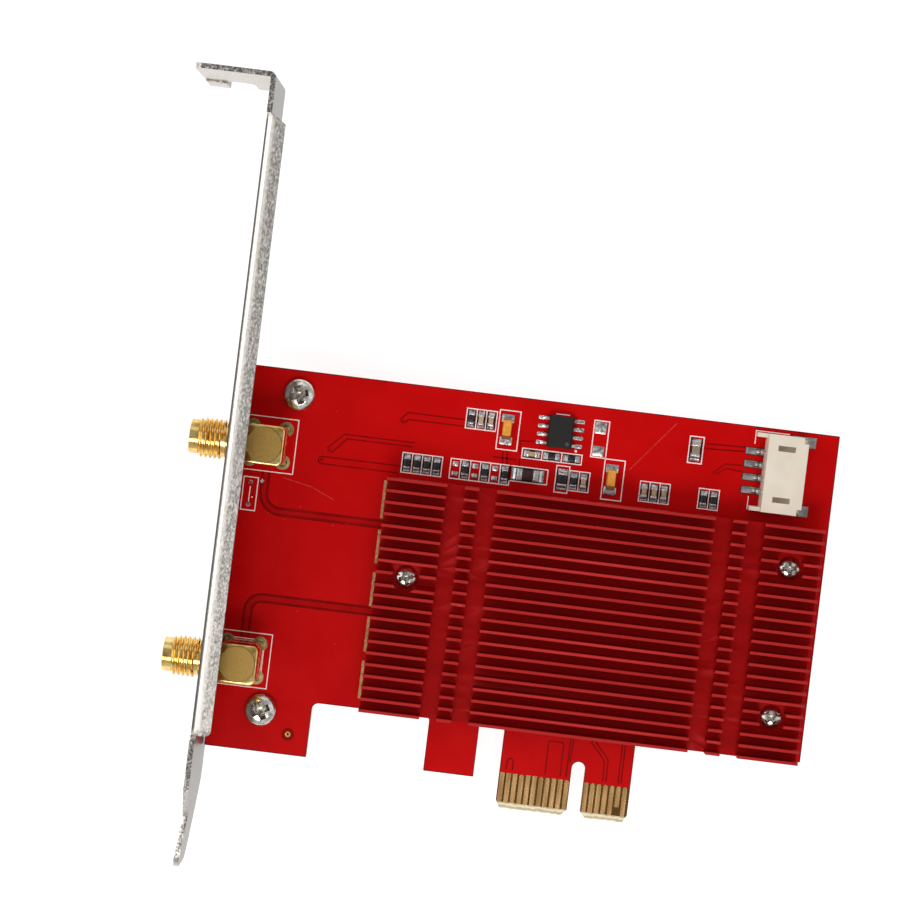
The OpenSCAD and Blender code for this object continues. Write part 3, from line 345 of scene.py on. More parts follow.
def carved(bm, cutters):
    """The mesh with each cutter's volume taken away."""
    things = []
    for shape in [bm, *cutters]:
        mesh = bpy.data.meshes.new("blank")
        shape.to_mesh(mesh)
        shape.free()
        things.append(bpy.data.objects.new("blank", mesh))
        bpy.context.scene.collection.objects.link(things[-1])
    for cutter in things[1:]:
        cut = things[0].modifiers.new("cut", "BOOLEAN")
        cut.operation = "DIFFERENCE"
        cut.solver = "EXACT"
        cut.object = cutter
    graph = bpy.context.evaluated_depsgraph_get()
    result = bmesh.new()
    result.from_mesh(things[0].evaluated_get(graph).to_mesh())
    for thing in things:
        mesh = thing.data
        bpy.data.objects.remove(thing)
        bpy.data.meshes.remove(mesh)
    return result


def merged(bm, part):
    """Moves the faces of a finished part into the mesh."""
    mesh = bpy.data.meshes.new("blank")
    part.to_mesh(mesh)
    part.free()
    bm.from_mesh(mesh)
    bpy.data.meshes.remove(mesh)


def blade(place, half_l, half_w, depth, turn):
    """One arm of a cross recess, tapering downwards."""
    bm = bmesh.new()
    made = bmesh.ops.create_cube(bm, size=2)["verts"]
    for vert in made:
        deep = vert.co.z < 0
        vert.co = Vector((
            vert.co.x * half_l * (0.62 if deep else 1.1),
            vert.co.y * half_w * (0.8 if deep else 1.0),
            -depth if deep else 0.4))
    place = Matrix.Translation(place) @ Matrix.Rotation(turn, 4, "Z")
    bmesh.ops.transform(bm, matrix=place, verts=bm.verts)
    return bm


def cross_screw(bm, x, y, seat, head_d, head_h, shank_d, tip, turn, reach):
    """Adds a pan-head screw to the mesh; the arms of its cross recess end at a share of the radius."""
    r = head_d / 2
    thread_depth = 0.2
    pitch = 0.5
    head = bmesh.new()
    profile = [
        (0, head_h), (0.3 * r, 0.985 * head_h), (0.58 * r, 0.93 * head_h), (0.8 * r, 0.8 * head_h),
        (0.94 * r, 0.6 * head_h), (r, 0.32 * head_h), (r, 0), (0, 0)]
    place = Matrix.Translation((x, y, seat))
    turned(head, profile, place)
    top = (x, y, seat + head_h)
    arms = [blade(top, reach * r, 0.22 * r, 0.6 * head_h, turn + way) for way in (0, math.pi / 2)]
    socket = bmesh.new()
    turned(
        socket, [(0, 0.3), (0.36 * r, 0.3), (0.3 * r, -0.5 * head_h), (0, -0.72 * head_h)],
        Matrix.Translation(top) @ Matrix.Rotation(turn, 4, "Z"), steps=8)
    head = carved(head, arms + [socket])
    head.normal_update()
    # Faces sunk below the dome near the middle take the darker recess finish: painted shade.
    for face in head.faces:
        centre = face.calc_center_median() - Vector(top)
        across = centre.xy.length / r
        below_dome = centre.z < -0.06 * head_h - 0.3 * head_h * across ** 3
        face.material_index = 1 if across < 0.75 and below_dome else 0
    merged(bm, head)
    core = shank_d / 2 - thread_depth
    end = tip - seat
    turned(bm, [(0, 0.05), (core, 0.05), (core, end + 0.25), (core - 0.2, end), (0, end)], place)
    turns = (seat - tip - 0.5) / pitch
    thread(bm, shank_d / 2, pitch, turns, thread_depth, Matrix.Translation((x, y, tip + 0.1)))


screw_nickel = surface(
    "screw_nickel", ("#B4ABA0", "#F6F2EA"), (0.14, 0.26), 0.6, relief=0.006, metallic=1.0)
# Painted shade: the recess finish is darker than the head's.
recess_shade = surface(
    "screw_recess_shade", ("#6A5F55", "#C8BEB2"), (0.2, 0.4), 0.4, relief=0.01, metallic=1.0)
low, high = corners("bracket_screws")
half_head = 2.45
bm = bmesh.new()
for y, turn in ((low.y + half_head, 0.5), (high.y - half_head, 0.35)):
    cross_screw(
        bm, (low.x + high.x) / 2, y, seat=BOARD_FACE, head_d=5.0, head_h=1.6, shank_d=2.9, tip=low.z,
        turn=turn, reach=0.64)
piece("bracket_screws_finished", bm, [screw_nickel, recess_shade], ("bracket_screws",))

low, high = corners("heatsink_screws")
half_head = 1.65
left, right = low.x + half_head, high.x - half_head
bm = bmesh.new()
for x, y, turn in ((left, 33.68, 0.3), (right, low.y + half_head, 0.75), (right, high.y - half_head, 0.15)):
    cross_screw(
        bm, x, y, seat=high.z - 1.2, head_d=3.3, head_h=1.2, shank_d=2.0, tip=low.z, turn=turn, reach=0.78)
piece("heatsink_screws_finished", bm, [screw_nickel, recess_shade], ("heatsink_screws",))


# Circuit board: glass cloth in epoxy, routed to shape, under a glossy red solder mask.
# Its cut edges show the bare laminate, and so do the faces of the contact tongue past the mask; there the
# laminate is painted dark, partly as the shade between the contacts.
MASK_END = 5.45
TONGUE_LEFT = -13


def masked_board():
    """Red mask on the faces; layers of cloth on the cut edges, and on the tongue yarns in resin painted dark,
    partly as shade between the contacts.
    """
    material = surface(
        "red_solder_mask", ("#BE0304", "#CA0405"), (0.26, 0.36), 9, relief=0.004, specular_ior_level=0.07)
    tree = material.node_tree
    shader = tree.nodes["Principled BSDF"]
    mask_tone = shader.inputs["Base Color"].links[0].from_socket
    place = add(tree, "ShaderNodeTexCoord").outputs["Object"]
    x, y, z = add(tree, "ShaderNodeSeparateXYZ", {0: place}).outputs
    height = add(tree, "ShaderNodeMath", {0: z}, operation="ABSOLUTE").outputs[0]
    on_face = add(
        tree, "ShaderNodeMath", {0: height, 1: (BOARD_FACE - 0.01) * MM}, operation="GREATER_THAN").outputs[0]
    above = add(tree, "ShaderNodeMath", {0: y, 1: MASK_END * MM}, operation="GREATER_THAN").outputs[0]
    beside = add(tree, "ShaderNodeMath", {0: x, 1: TONGUE_LEFT * MM}, operation="LESS_THAN").outputs[0]
    masked = add(tree, "ShaderNodeMath", {0: above, 1: beside}, operation="MAXIMUM").outputs[0]
    # A wave of scale 1 repeats every 0.31, so the layers lie 0.26 mm apart and the yarns 0.39 mm.
    layers = add(
        tree, "ShaderNodeTexWave", {"Vector": place, "Scale": 1.2 / MM, "Distortion": 3.0, "Detail": 2.0},
        bands_direction="Z").outputs[1]
    laminate = add(
        tree, "ShaderNodeMix", {0: layers, 6: linear("#C2AE84"), 7: linear("#EFE4C8")},
        data_type="RGBA").outputs[2]
    yarns = add(
        tree, "ShaderNodeTexWave", {"Vector": place, "Scale": 0.8 / MM, "Distortion": 1.0},
        bands_direction="X").outputs[1]
    # Dark brown laminate on the tongue: its own tone, deepened as painted shade between the contacts.
    resin_and_shade = add(
        tree, "ShaderNodeMix", {0: yarns, 6: linear("#4C3612"), 7: linear("#60461A")},
        data_type="RGBA").outputs[2]
    covered = add(tree, "ShaderNodeMix", {0: masked, 6: resin_and_shade, 7: mask_tone}, data_type="RGBA").outputs[2]
    whole = add(tree, "ShaderNodeMix", {0: on_face, 6: laminate, 7: covered}, data_type="RGBA").outputs[2]
    tree.links.new(whole, shader.inputs["Base Color"])
    return material


red_mask = masked_board()
dress(red_mask, "circuit_board")

# Hard gold over nickel, wiped lengthways by the socket, so its shine is drawn out along Y.
contact_gold = surface(
    "contact_gold", ("#D8A468", "#E6B67C"), (0.18, 0.26), 0.9,
    relief=0.002, metallic=1.0, stretch=(1, 0.15, 1))
dress(contact_gold, "edge_contacts_front", "edge_contacts_back", "module_slot_contacts")


# Copper under the mask: the pour is cut back beside each line, and there the mask looks darker.
# Each radio line runs from a jack to the module; the others are thin signal lines and their vias.
MASK_FILM = 0.012
SKIN = BOARD_FACE + MASK_FILM
GAP_WIDTH = 0.42
RADIO_WIDTH = 0.55
SIGNAL_WIDTH = 0.22
RIM_WIDTH = 0.12


def ribbon(bm, points, width, low, high, finish=0):
    """Flat strip along a path, as wide and as thick as given."""
    before = set(bm.faces)
    path = [Vector((*point, low)) for point in points]
    edge = None
    for i, point in enumerate(path):
        back = (point - path[i - 1]).normalized() if i else None
        ahead = (path[i + 1] - point).normalized() if i + 1 < len(path) else None
        way = ((back or ahead) + (ahead or back)).normalized()
        side = Vector((-way.y, way.x, 0))
        stretch = width / 2 / max(0.4, side.dot(Vector((-(ahead or back).y, (ahead or back).x, 0))))
        ends = (point + side * stretch, point - side * stretch)
        if edge is None:
            edge = bm.edges.new([bm.verts.new(end) for end in ends])
            continue
        first = edge.verts[:]
        grown = bmesh.ops.extrude_edge_only(bm, edges=[edge])["geom"]
        edge = next(part for part in grown if isinstance(part, bmesh.types.BMEdge))
        for vert in edge.verts:
            mate = next(other.other_vert(vert) for other in vert.link_edges if other is not edge)
            vert.co = ends[first.index(mate)]
    flat = [face for face in bm.faces if face not in before]
    bmesh.ops.recalc_face_normals(bm, faces=flat)
    top = bmesh.ops.extrude_face_region(bm, geom=flat)["geom"]
    lifted = [part for part in top if isinstance(part, bmesh.types.BMVert)]
    bmesh.ops.translate(bm, vec=(0, 0, high - low), verts=lifted)
    made = [face for face in bm.faces if face not in before]
    bmesh.ops.recalc_face_normals(bm, faces=made)
    new_faces(bm, before, finish)


def arc(middle, radius, start, end, steps=8):
    """Points on an arc, with its angles in degrees."""
    turns = [math.radians(start + (end - start) * i / steps) for i in range(steps + 1)]
    return [(middle[0] + radius * math.cos(a), middle[1] + radius * math.sin(a)) for a in turns]


def washer(bm, x, y, outer, inner, low, high, finish=0, steps=32):
    """Flat ring, or a disc where inner is zero."""
    ring = [(inner, low), (outer, low), (outer, high), (inner, high)]
    if inner:
        ring.append((inner, low))
    turned(bm, ring, Matrix.Translation((x, y, 0)), steps=steps, finish=finish)


dark_mask = surface("mask_over_laminate", ("#7C0203", "#930304"), (0.26, 0.34), 3, specular_ior_level=0.07)
line_mask = surface("mask_over_line", ("#AC0304", "#BA0506"), (0.26, 0.34), 3, specular_ior_level=0.07)
via_gold = surface("via_gold", ("#8E6B36", "#C9A35A"), (0.35, 0.5), 0.5, metallic=0.8)
fence_tin = surface("fence_tin", ("#A8784A", "#D0A070"), (0.35, 0.5), 0.5, metallic=0.7)
routed_edge = surface("routed_edge", ("#4A0A0A", "#6E1412"), (0.45, 0.6), 0.4, specular_ior_level=0.07)

bm = bmesh.new()
upper_outer = [(-53.65, 47.2), *arc((-50.4, 43.75), 3.25, 180, 270), (-33.5, 40.5)]
upper_inner = [(-52.65, 47.2), *arc((-50.4, 43.75), 2.25, 180, 270), (-33.5, 41.5)]
lower_outer = [(-53.9, 20.4), *arc((-51.3, 25.5), 2.6, 180, 90), (-33.5, 28.1)]
lower_inner = [(-52.8, 20.4), *arc((-51.3, 25.5), 1.5, 180, 90), (-33.5, 27.0)]
for path in (upper_outer, upper_inner, lower_outer, lower_inner):
    ribbon(bm, path, GAP_WIDTH, BOARD_FACE, SKIN)
upper_line = [(-53.15, 47.2), *arc((-50.4, 43.75), 2.75, 180, 270), (-33.5, 41.0)]
lower_line = [(-53.35, 20.4), *arc((-51.3, 25.5), 2.05, 180, 90), (-33.5, 27.55)]
for path in (upper_line, lower_line):
    ribbon(bm, path, RADIO_WIDTH, BOARD_FACE, SKIN - 0.003, finish=1)
signal_lines = [
    [(-17.5, 54.5), (-17.3, 52.5)],
    [(-16.8, 54.4), (-16.6, 52.4)],
    [(-14.8, 53.6), (-14.7, 52.5)],
    [(-44.3, 51.6), (-41.9, 54.05), (-31.0, 54.05)],
    [(-43.55, 51.0), (-41.4, 53.4), (-31.3, 53.4)],
    [(-45.3, 49.4), *arc((-44.9, 49.75), 0.5, 200, 90, 4), (-32.9, 50.25)],
    [*arc((-44.9, 49.7), 0.55, 190, 270, 4), (-32.9, 49.15)],
    [(-33.75, 57.3), (-32.6, 58.55), (-23.9, 58.55)],
    [(-33.05, 56.85), (-32.4, 57.5), (-23.9, 57.5)],
    [(-14.9, 54.5), (-15.0, 56.4), (-12.6, 56.5)],
    [(-18.9, 53.4), (-15.3, 53.4)],
    [(13.4, 59.4), (19.4, 59.6)],
    [(13.4, 58.65), (19.4, 58.9)],
    [(14.9, 55.0), (16.6, 56.65), (19.3, 56.75)],
    [(15.4, 54.9), (16.85, 56.0), (19.4, 55.8)],
    [(-11.0, 6.0), (-11.0, 7.3), (-10.7, 7.75), (-10.3, 7.75), (-10.05, 7.3), (-10.05, 6.0)],
    [(-5.0, 6.0), (-5.0, 10.95), (-4.75, 11.15), (-2.95, 11.15), (-2.7, 10.9), (-2.67, 6.0)],
    [(-1.77, 6.0), (-1.68, 12.4)],
    [(-1.46, 8.2), (-1.2, 12.4)],
    [(3.95, 6.0), (3.85, 8.9), (3.1, 10.0), (1.6, 11.6), (1.6, 12.4)],
    [(4.45, 6.0), (4.35, 9.4), (3.3, 10.6), (2.2, 11.8), (2.2, 12.6)],
    [(6.3, 6.0), (6.3, 12.6)],
    [(6.75, 6.0), (6.75, 12.6)],
]
for path in signal_lines:
    ribbon(bm, path, SIGNAL_WIDTH, BOARD_FACE, SKIN)

# A thin dark line is drawn along the routed edge of the face.
rim = bmesh.new()
rim.from_mesh(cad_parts["circuit_board"].data)
bmesh.ops.remove_doubles(rim, verts=rim.verts, dist=1e-6)
for side in rim.edges:
    at_face = all(abs(vert.co.z - BOARD_FACE * MM) < 1e-6 for vert in side.verts)
    walls = [face.normal for face in side.link_faces if abs(face.normal.z) < 0.1]
    if at_face and len(walls) == 1:
        ends = [(vert.co.xy / MM - walls[0].xy * RIM_WIDTH / 2)[:] for vert in side.verts]
        if math.dist(*ends) > 0.02:
            ribbon(bm, ends, RIM_WIDTH, BOARD_FACE, SKIN - 0.004, finish=3)
rim.free()

# Vias, and the plated hole at the foot of the lobe by the bracket.
for x, y in ((-43.9, 51.3), (-44.95, 49.75), (-33.3, 57.1)):
    washer(bm, x, y, 0.42, 0.22, BOARD_FACE, SKIN + 0.004, finish=1, steps=16)
    washer(bm, x, y, 0.2, 0, BOARD_FACE, SKIN, steps=12)
x, y = -44.95, 7.25
washer(bm, x, y, 1.0, 0.45, BOARD_FACE, SKIN, steps=32)
washer(bm, x, y, 0.42, 0.2, BOARD_FACE, SKIN + 0.02, finish=2, steps=24)
washer(bm, x, y, 0.2, 0, BOARD_FACE, SKIN, steps=12)
piece("copper_lines", bm, [dark_mask, line_mask, via_gold, routed_edge])

# Two hairline scratches and a few specks in the mask, paler and drier than the gloss round them.
bm = bmesh.new()
for path in ([(-50.5, 46.3), (-46.0, 45.4), (-42.2, 43.8)], [(8.6, 62.0), (5.3, 57.9), (2.2, 54.0)]):
    ribbon(bm, path, 0.07, BOARD_FACE, SKIN)
specks = [
    (-43.5, 57.4), (-52.1, 40.7), (-49.6, 39.9), (-42.0, 39.9), (-47.3, 42.2), (-45.8, 26.2), (-39.5, 21.9)]
for x, y in specks:
    washer(bm, x, y, 0.08, 0, BOARD_FACE, SKIN, steps=8)
scuffed_mask = surface("scuffed_mask", ("#C8302C", "#D65A55"), (0.45, 0.6), 0.5, specular_ior_level=0.07)
piece("handling_marks", bm, [scuffed_mask])

# Five open pads along the heatsink's left edge, thinly tinned, so the copper warms their tone.
bm = bmesh.new()
for y_low, y_high in ((41.9, 47.8), (35.0, 40.2), (28.3, 33.6), (21.3, 26.7), (14.1, 19.9)):
    block(bm, (-34.98, y_low, BOARD_FACE), (-34.2, y_high, BOARD_FACE + 0.04), 0.015, 1)
piece("fence_pads", bm, [fence_tin])


# Printed frames: white epoxy ink, screened on in strips about a sixth of a millimetre wide. They
# show where each part goes, and dry matt, a little proud of the mask.
INK = BOARD_FACE + 0.022
STRIP_WIDTH = 0.16
CELL_PITCH = 1.535


def cells(start, count):
    """Places of the strips between chips that share one frame."""
    return [start + CELL_PITCH * i for i in range(1, count)]


def printed_frame(bm, x_low, y_low, x_high, y_high, splits=()):
    """Rectangle of ink, with a strip across it at each split."""
    path = [(x_low, y_low), (x_high, y_low), (x_high, y_high), (x_low, y_high)]
    half = STRIP_WIDTH / 2
    for i, start in enumerate(path):
        end = path[(i + 1) % 4]
        way = (Vector(end) - Vector(start)).normalized() * half
        start, end = Vector(start) + way, Vector(end) + way
        ribbon(bm, [start, end], STRIP_WIDTH, BOARD_FACE, INK)
    for x in splits:
        ribbon(bm, [(x, y_low + half), (x, y_high - half)], STRIP_WIDTH, BOARD_FACE, INK)


screen_ink = surface("screen_ink", ("#FFDCD8", "#FFF8F6"), (0.5, 0.65), 0.4, relief=0.006)
bm = bmesh.new()
frames = [
    (-23.65, 57.3, -19.0, 60.35, [-22.1, -20.6]), (-18.6, 54.7, -15.4, 60.75, []),
    (-4.0, 55.25, -1.7, 60.9, []), (-14.5, 53.8, -5.3, 55.3, [-11.45, -8.4]),
    (-32.65, 49.35, -26.5, 52.4, cells(-32.65, 4)), (-25.2, 49.35, -16.0, 52.4, cells(-25.2, 6)),
    (-16.0, 50.1, -10.2, 52.4, []), (-8.95, 49.2, -6.95, 53.3, []), (-6.85, 49.7, -3.75, 52.75, [-5.35]),
    (-1.7, 49.0, 1.4, 55.2, []), (4.1, 49.4, 8.7, 52.5, [5.6, 7.15]), (10.85, 56.2, 13.0, 60.3, []),
    (13.2, 49.4, 16.3, 52.5, [14.75]), (-56.4, 40.7, -54.2, 45.8, []),
]
for x_low, y_low, x_high, y_high, splits in frames:
    printed_frame(bm, x_low, y_low, x_high, y_high, splits=splits)
open_lines = [
    [(-56.9, 55.3), (-49.1, 55.3), (-49.1, 46.95), (-56.9, 46.95)],
    [(-56.9, 22.1), (-49.1, 22.1), (-49.1, 13.75), (-56.9, 13.75)],
    [(-55.5, 21.12), (-50.2, 21.12), (-50.2, 14.6)],
    [(20.8, 60.3), (20.8, 62.35), (26.0, 62.35)],
    [(20.8, 52.2), (20.8, 50.3), (22.0, 50.3)],
    [(-10.0, 61.15), (-7.9, 61.15)],
    [(-55.3, 44.4), (-55.3, 42.0)],
    [(-53.9, 45.4), (-53.3, 45.4)],
    [(-53.6, 45.1), (-53.6, 45.7)],
]
for path in open_lines:
    ribbon(bm, path, 0.15, BOARD_FACE, INK + 0.001)
washer(bm, -6.35, 55.8, 0.2, 0, BOARD_FACE, INK, steps=12)
washer(bm, -54.85, 42.75, 0.12, 0, BOARD_FACE, INK, steps=12)
piece("printed_frames", bm, [screen_ink])


# Bare footprints and solder rings: tinned copper that the mask leaves open. The rings take the
# legs of the two jacks, and the empty footprints wait for parts that this card does without.
# Solder sets a little lumpy, so its bright shine is broken up.
PAD_TOP = BOARD_FACE + 0.03
JACKS_Y = (51.15, 17.95)
LEG_OFFSET = 2.54
bare_copper = surface("tinned_pad", ("#8A7A4E", "#B9A878"), (0.34, 0.5), 0.7, relief=0.01, metallic=0.6)
tin = surface("solder_tin", ("#9C9B98", "#E8E7E4"), (0.18, 0.36), 0.5, relief=0.014, metallic=1.0)
bm = bmesh.new()
for y in JACKS_Y:
    for dx in (-LEG_OFFSET, LEG_OFFSET):
        for dy in (-LEG_OFFSET, LEG_OFFSET):
            washer(bm, -53.4 + dx, y + dy, 1.15, 0.68, BOARD_FACE, PAD_TOP)
for y_low, y_high in ((58.9, 60.7), (55.45, 57.0)):
    block(bm, (-3.8, y_low, BOARD_FACE), (-2.1, y_high, BOARD_FACE + 0.06), 0.05, 2, finish=1)
for x in (-24.43, -21.37, -18.3):
    for y in (51.65, 50.1):
        low, high = (x - 0.42, y - 0.38, BOARD_FACE), (x + 0.42, y + 0.38, BOARD_FACE + 0.07)
        block(bm, low, high, 0.06, 2, finish=1)
for y in (45.0, 41.6):
    washer(bm, -55.32, y, 0.36, 0.16, BOARD_FACE, PAD_TOP, finish=1, steps=20)
piece("open_footprints", bm, [bare_copper, tin])


# Heatsink: extruded aluminium with 21 fins, milled across in four channels, dyed red in the anodising bath.
# The fin tips are painted a lighter red than the slots.
# It stands on three bright brass standoffs and presses a soft, matt silicone pad on the module.
FIN_TOP = 8.36


def anodised():
    """Dyed red with faint lines along the extrusion, and a lighter tone on the fin tips."""
    material = surface(
        "red_anodised_aluminium", ("#980203", "#A60405"), (0.36, 0.48), 2.5,
        relief=0.004, metallic=0.15, stretch=(0.2, 1, 1), specular_ior_level=0.08)
    tree = material.node_tree
    shader = tree.nodes["Principled BSDF"]
    dyed = shader.inputs["Base Color"].links[0].from_socket
    place = add(tree, "ShaderNodeTexCoord").outputs["Object"]
    height = add(tree, "ShaderNodeSeparateXYZ", {0: place}).outputs["Z"]
    # The fin tips are painted a lighter red.
    tip = add(tree, "ShaderNodeMapRange", {
        0: height, 1: (FIN_TOP - 0.11) * MM, 2: FIN_TOP * MM}).outputs[0]
    tone = add(tree, "ShaderNodeMix", {0: tip, 6: dyed, 7: linear("#AE2624")}, data_type="RGBA")
    tree.links.new(tone.outputs[2], shader.inputs["Base Color"])
    return material


softened("heatsink", anodised(), 0.05, 1)
tinned_brass = surface("tinned_brass", ("#A8A49A", "#D6D3CA"), (0.25, 0.4), 0.6, metallic=1.0)
dress(tinned_brass, "heatsink_standoffs")
silicone = surface("thermal_silicone", ("#7C8FA6", "#93A5BA"), (0.75, 0.9), 0.4, relief=0.02)
dress(silicone, "thermal_pad")


# Radio module: a green plug-in board under a tinned can, held in a black slot by its tongue.
# Two short coaxial leads join it to sockets on the board; all of it is out of sight.
green_mask = surface("green_solder_mask", ("#0E3F22", "#14522D"), (0.3, 0.4), 3)
dress(green_mask, "radio_module_board")
tinned_can = surface("tinned_can", ("#A9A9A6", "#D9D9D5"), (0.22, 0.36), 2, relief=0.006, metallic=1.0)
dress(tinned_can, "module_shield")
black_nylon = surface("black_nylon", ("#0C0C0C", "#171717"), (0.45, 0.6), 0.3, relief=0.01)
dress(black_nylon, "module_slot")
socket_gold = surface("socket_gold", ("#C79A4B", "#EBCB86"), (0.2, 0.32), 0.4, metallic=1.0)
dress(socket_gold, "board_sockets", "module_sockets", "lead_plugs")
lead_jacket = surface("lead_jacket", ("#2C2C2E", "#3B3B3D"), (0.4, 0.5), 0.5, relief=0.01)
dress(lead_jacket, "antenna_leads")


# Antenna jacks: turned and milled brass under thick gold plate that mirrors the room, with a matt
# stamped cap pressed into the block. A fine thread takes the antenna, and white fluoropolymer
# holds the bent centre contact.
jack_gold = surface("jack_gold", ("#D9A94E", "#FBE09A"), (0.1, 0.22), 1.2, relief=0.003, metallic=1.0)
cap_gold = surface("jack_cap_gold", ("#9C7B40", "#AE8D50"), (0.42, 0.55), 0.3, relief=0.004, metallic=1.0)
BLOCK_HALF = 3
AXIS_BELOW_TOP = 3.1
LEG_HALF = 0.45
TO_LEFT = Matrix.Rotation(-math.pi / 2, 4, "Y")
for name in ("upper_jack", "lower_jack"):
    low, high = corners(name + "_body")
    middle_y = (low.y + high.y) / 2
    cap_low, cap_high = corners(name + "_cap")
    centre_x = (cap_low.x + cap_high.x) / 2
    top = high.z
    bm = bmesh.new()

    # The block: its upright edges are well rounded, then the rim of its top a little.
    shell = bmesh.new()
    block(
        shell, (centre_x - BLOCK_HALF, middle_y - BLOCK_HALF, BOARD_FACE),
        (centre_x + BLOCK_HALF, middle_y + BLOCK_HALF, top))
    for edge, steps, upright in ((0.9, 6, True), (0.28, 4, False)):
        rims = []
        for side in shell.edges:
            rise = abs((side.verts[0].co - side.verts[1].co).normalized().z)
            on_top = min(vert.co.z for vert in side.verts) > top - 0.01
            if rise > 0.99 if upright else rise < 0.01 and on_top:
                rims.append(side)
        bmesh.ops.bevel(
            shell, geom=rims, offset=edge, offset_type="OFFSET", segments=steps, profile=0.5,
            affect="EDGES", material=-1)
    seat = bmesh.new()
    turned(
        seat, [(0, 0.5), (2.75, 0.5), (2.75, -0.8), (0, -0.8)],
        Matrix.Translation((centre_x, middle_y, top)), 64)
    merged(bm, carved(shell, [seat]))

    # The barrel, its thread and the four legs.
    reach = centre_x - low.x
    thread_start = reach - 5.6
    barrel = [
        (2.2, reach - 6), (2.2, reach), (2.4, reach), (2.6, reach - 0.12), (2.6, reach - 1.5),
        (2.5, reach - 1.6), (2.5, reach - 1.8), (2.72, reach - 1.95), (2.72, thread_start),
        (2.62, reach - 5.7), (2.625, reach - 7.0), (2.9, reach - 7.0), (2.9, 1.0)]
    place = Matrix.Translation((centre_x, middle_y, top - AXIS_BELOW_TOP)) @ TO_LEFT
    turned(bm, barrel, place, steps=48)
    thread(
        bm, crest=3.1, pitch=0.7, turns=5.2, depth=0.38,
        place=place @ Matrix.Translation((0, 0, thread_start)), steps=48)
    for dx in (-LEG_OFFSET, LEG_OFFSET):
        for dy in (-LEG_OFFSET, LEG_OFFSET):
            x, y = centre_x + dx, middle_y + dy
            block(
                bm, (x - LEG_HALF, y - LEG_HALF, low.z), (x + LEG_HALF, y + LEG_HALF, BOARD_FACE + 0.1),
                0.06, 1)
    piece(name + "_shell", bm, [jack_gold], (name + "_body",))
    dress(cap_gold, name + "_cap")
    dress(jack_gold, name + "_contact")
fluoropolymer = surface("fluoropolymer", ("#EFEFEA", "#FAFAF6"), (0.4, 0.5), 1)
dress(fluoropolymer, "upper_jack_insulator", "lower_jack_insulator")


# Header: moulded cream nylon with a silky gloss, open towards the board's right edge, on four bent
# pins of dull tin. Two tabs, soldered beside the mouth, take the pull of the cable.
FLUX_AND_SHADE_FILM = 0.014
cream_nylon = surface("cream_nylon", ("#E0D3BE", "#E8DCC8"), (0.4, 0.55), 3, relief=0.004)
softened("header_housing", cream_nylon, 0.1)
pin_tin = surface("pin_tin", ("#8F8D89", "#C4C2BE"), (0.28, 0.42), 0.9, relief=0.006, metallic=1.0)
softened("header_pins", pin_tin, 0.05, 1)
softened("header_solder_tabs", pin_tin, 0.06, 1)
# Dark film round the feet of parts: partly painted shade, partly flux.
flux_and_shade = surface("flux_and_shade", ("#260505", "#5C0B0A"), (0.3, 0.5), 0.5, specular_ior_level=0.2)
low, high = corners("header_pins")
bm = bmesh.new()
half_pin = 0.25
for i in range(4):
    y = low.y + half_pin + i * (high.y - low.y - 2 * half_pin) / 3
    # A dark film round each pin's foot: painted shade, and flux.
    block(bm, (low.x - 0.42, y - 0.62, BOARD_FACE), (low.x + 2.9, y + 0.62, BOARD_FACE + FLUX_AND_SHADE_FILM), finish=1)
    block(bm, (low.x - 0.3, y - 0.5, BOARD_FACE), (low.x + 2.6, y + 0.5, BOARD_FACE + 0.05), 0.04, 1)
    turned(
        bm, [(0, 0.42), (0.2, 0.4), (0.38, 0.28), (0.46, 0.1), (0.5, 0.0), (0, 0.0)],
        Matrix.Translation((low.x + 1.75, y, BOARD_FACE)) @ Matrix.Diagonal((1.5, 0.95, 1, 1)), steps=20)
low, high = corners("header_solder_tabs")
for y_low, y_high in ((low.y - 0.15, low.y + 1.5), (high.y - 1.5, high.y + 0.15)):
    block(bm, (low.x - 0.1, y_low, BOARD_FACE), (high.x + 0.15, y_high, BOARD_FACE + 0.05), 0.04, 1)
piece("header_solder", bm, [pin_tin, flux_and_shade])


# Memory chip: matt black moulded epoxy with a dimple at its first pin, on eight gull-wing leads.
# Each lead's foot is wetted by a small fillet of solder.
chip_epoxy = surface(
    "chip_epoxy", ("#12110F", "#1D1B18"), (0.5, 0.65), 0.12, relief=0.01, specular_ior_level=0.3)
softened("memory_chip", chip_epoxy, 0.05, 1)
softened("memory_chip_leads", tin, 0.04, 1)
low, high = corners("memory_chip_leads")
bm = bmesh.new()
half_lead = 0.21
for i in range(4):
    y = low.y + half_lead + i * (high.y - low.y - 2 * half_lead) / 3
    for x_low, x_high in ((low.x - 0.55, low.x + 0.75), (high.x - 0.75, high.x + 0.55)):
        block(bm, (x_low, y - 0.3, BOARD_FACE), (x_high, y + 0.3, BOARD_FACE + 0.12), 0.1, 3)
piece("memory_solder", bm, [tin])
low, high = corners("memory_chip")
dimple_epoxy = surface("dimple_epoxy", ("#3A3E3B", "#454A46"), (0.35, 0.45), 0.2)
bm = bmesh.new()
washer(bm, high.x - 0.75, low.y + 0.7, 0.3, 0, high.z - 0.03, high.z + 0.004, steps=24)
piece("memory_pin_mark", bm, [dimple_epoxy])


# Tantalum capacitors: orange moulded epoxy with a brown band at the positive end, on folded
# tinned terminals. The half above the parting line tapers, so that it leaves the mould.
TAPER = 0.84


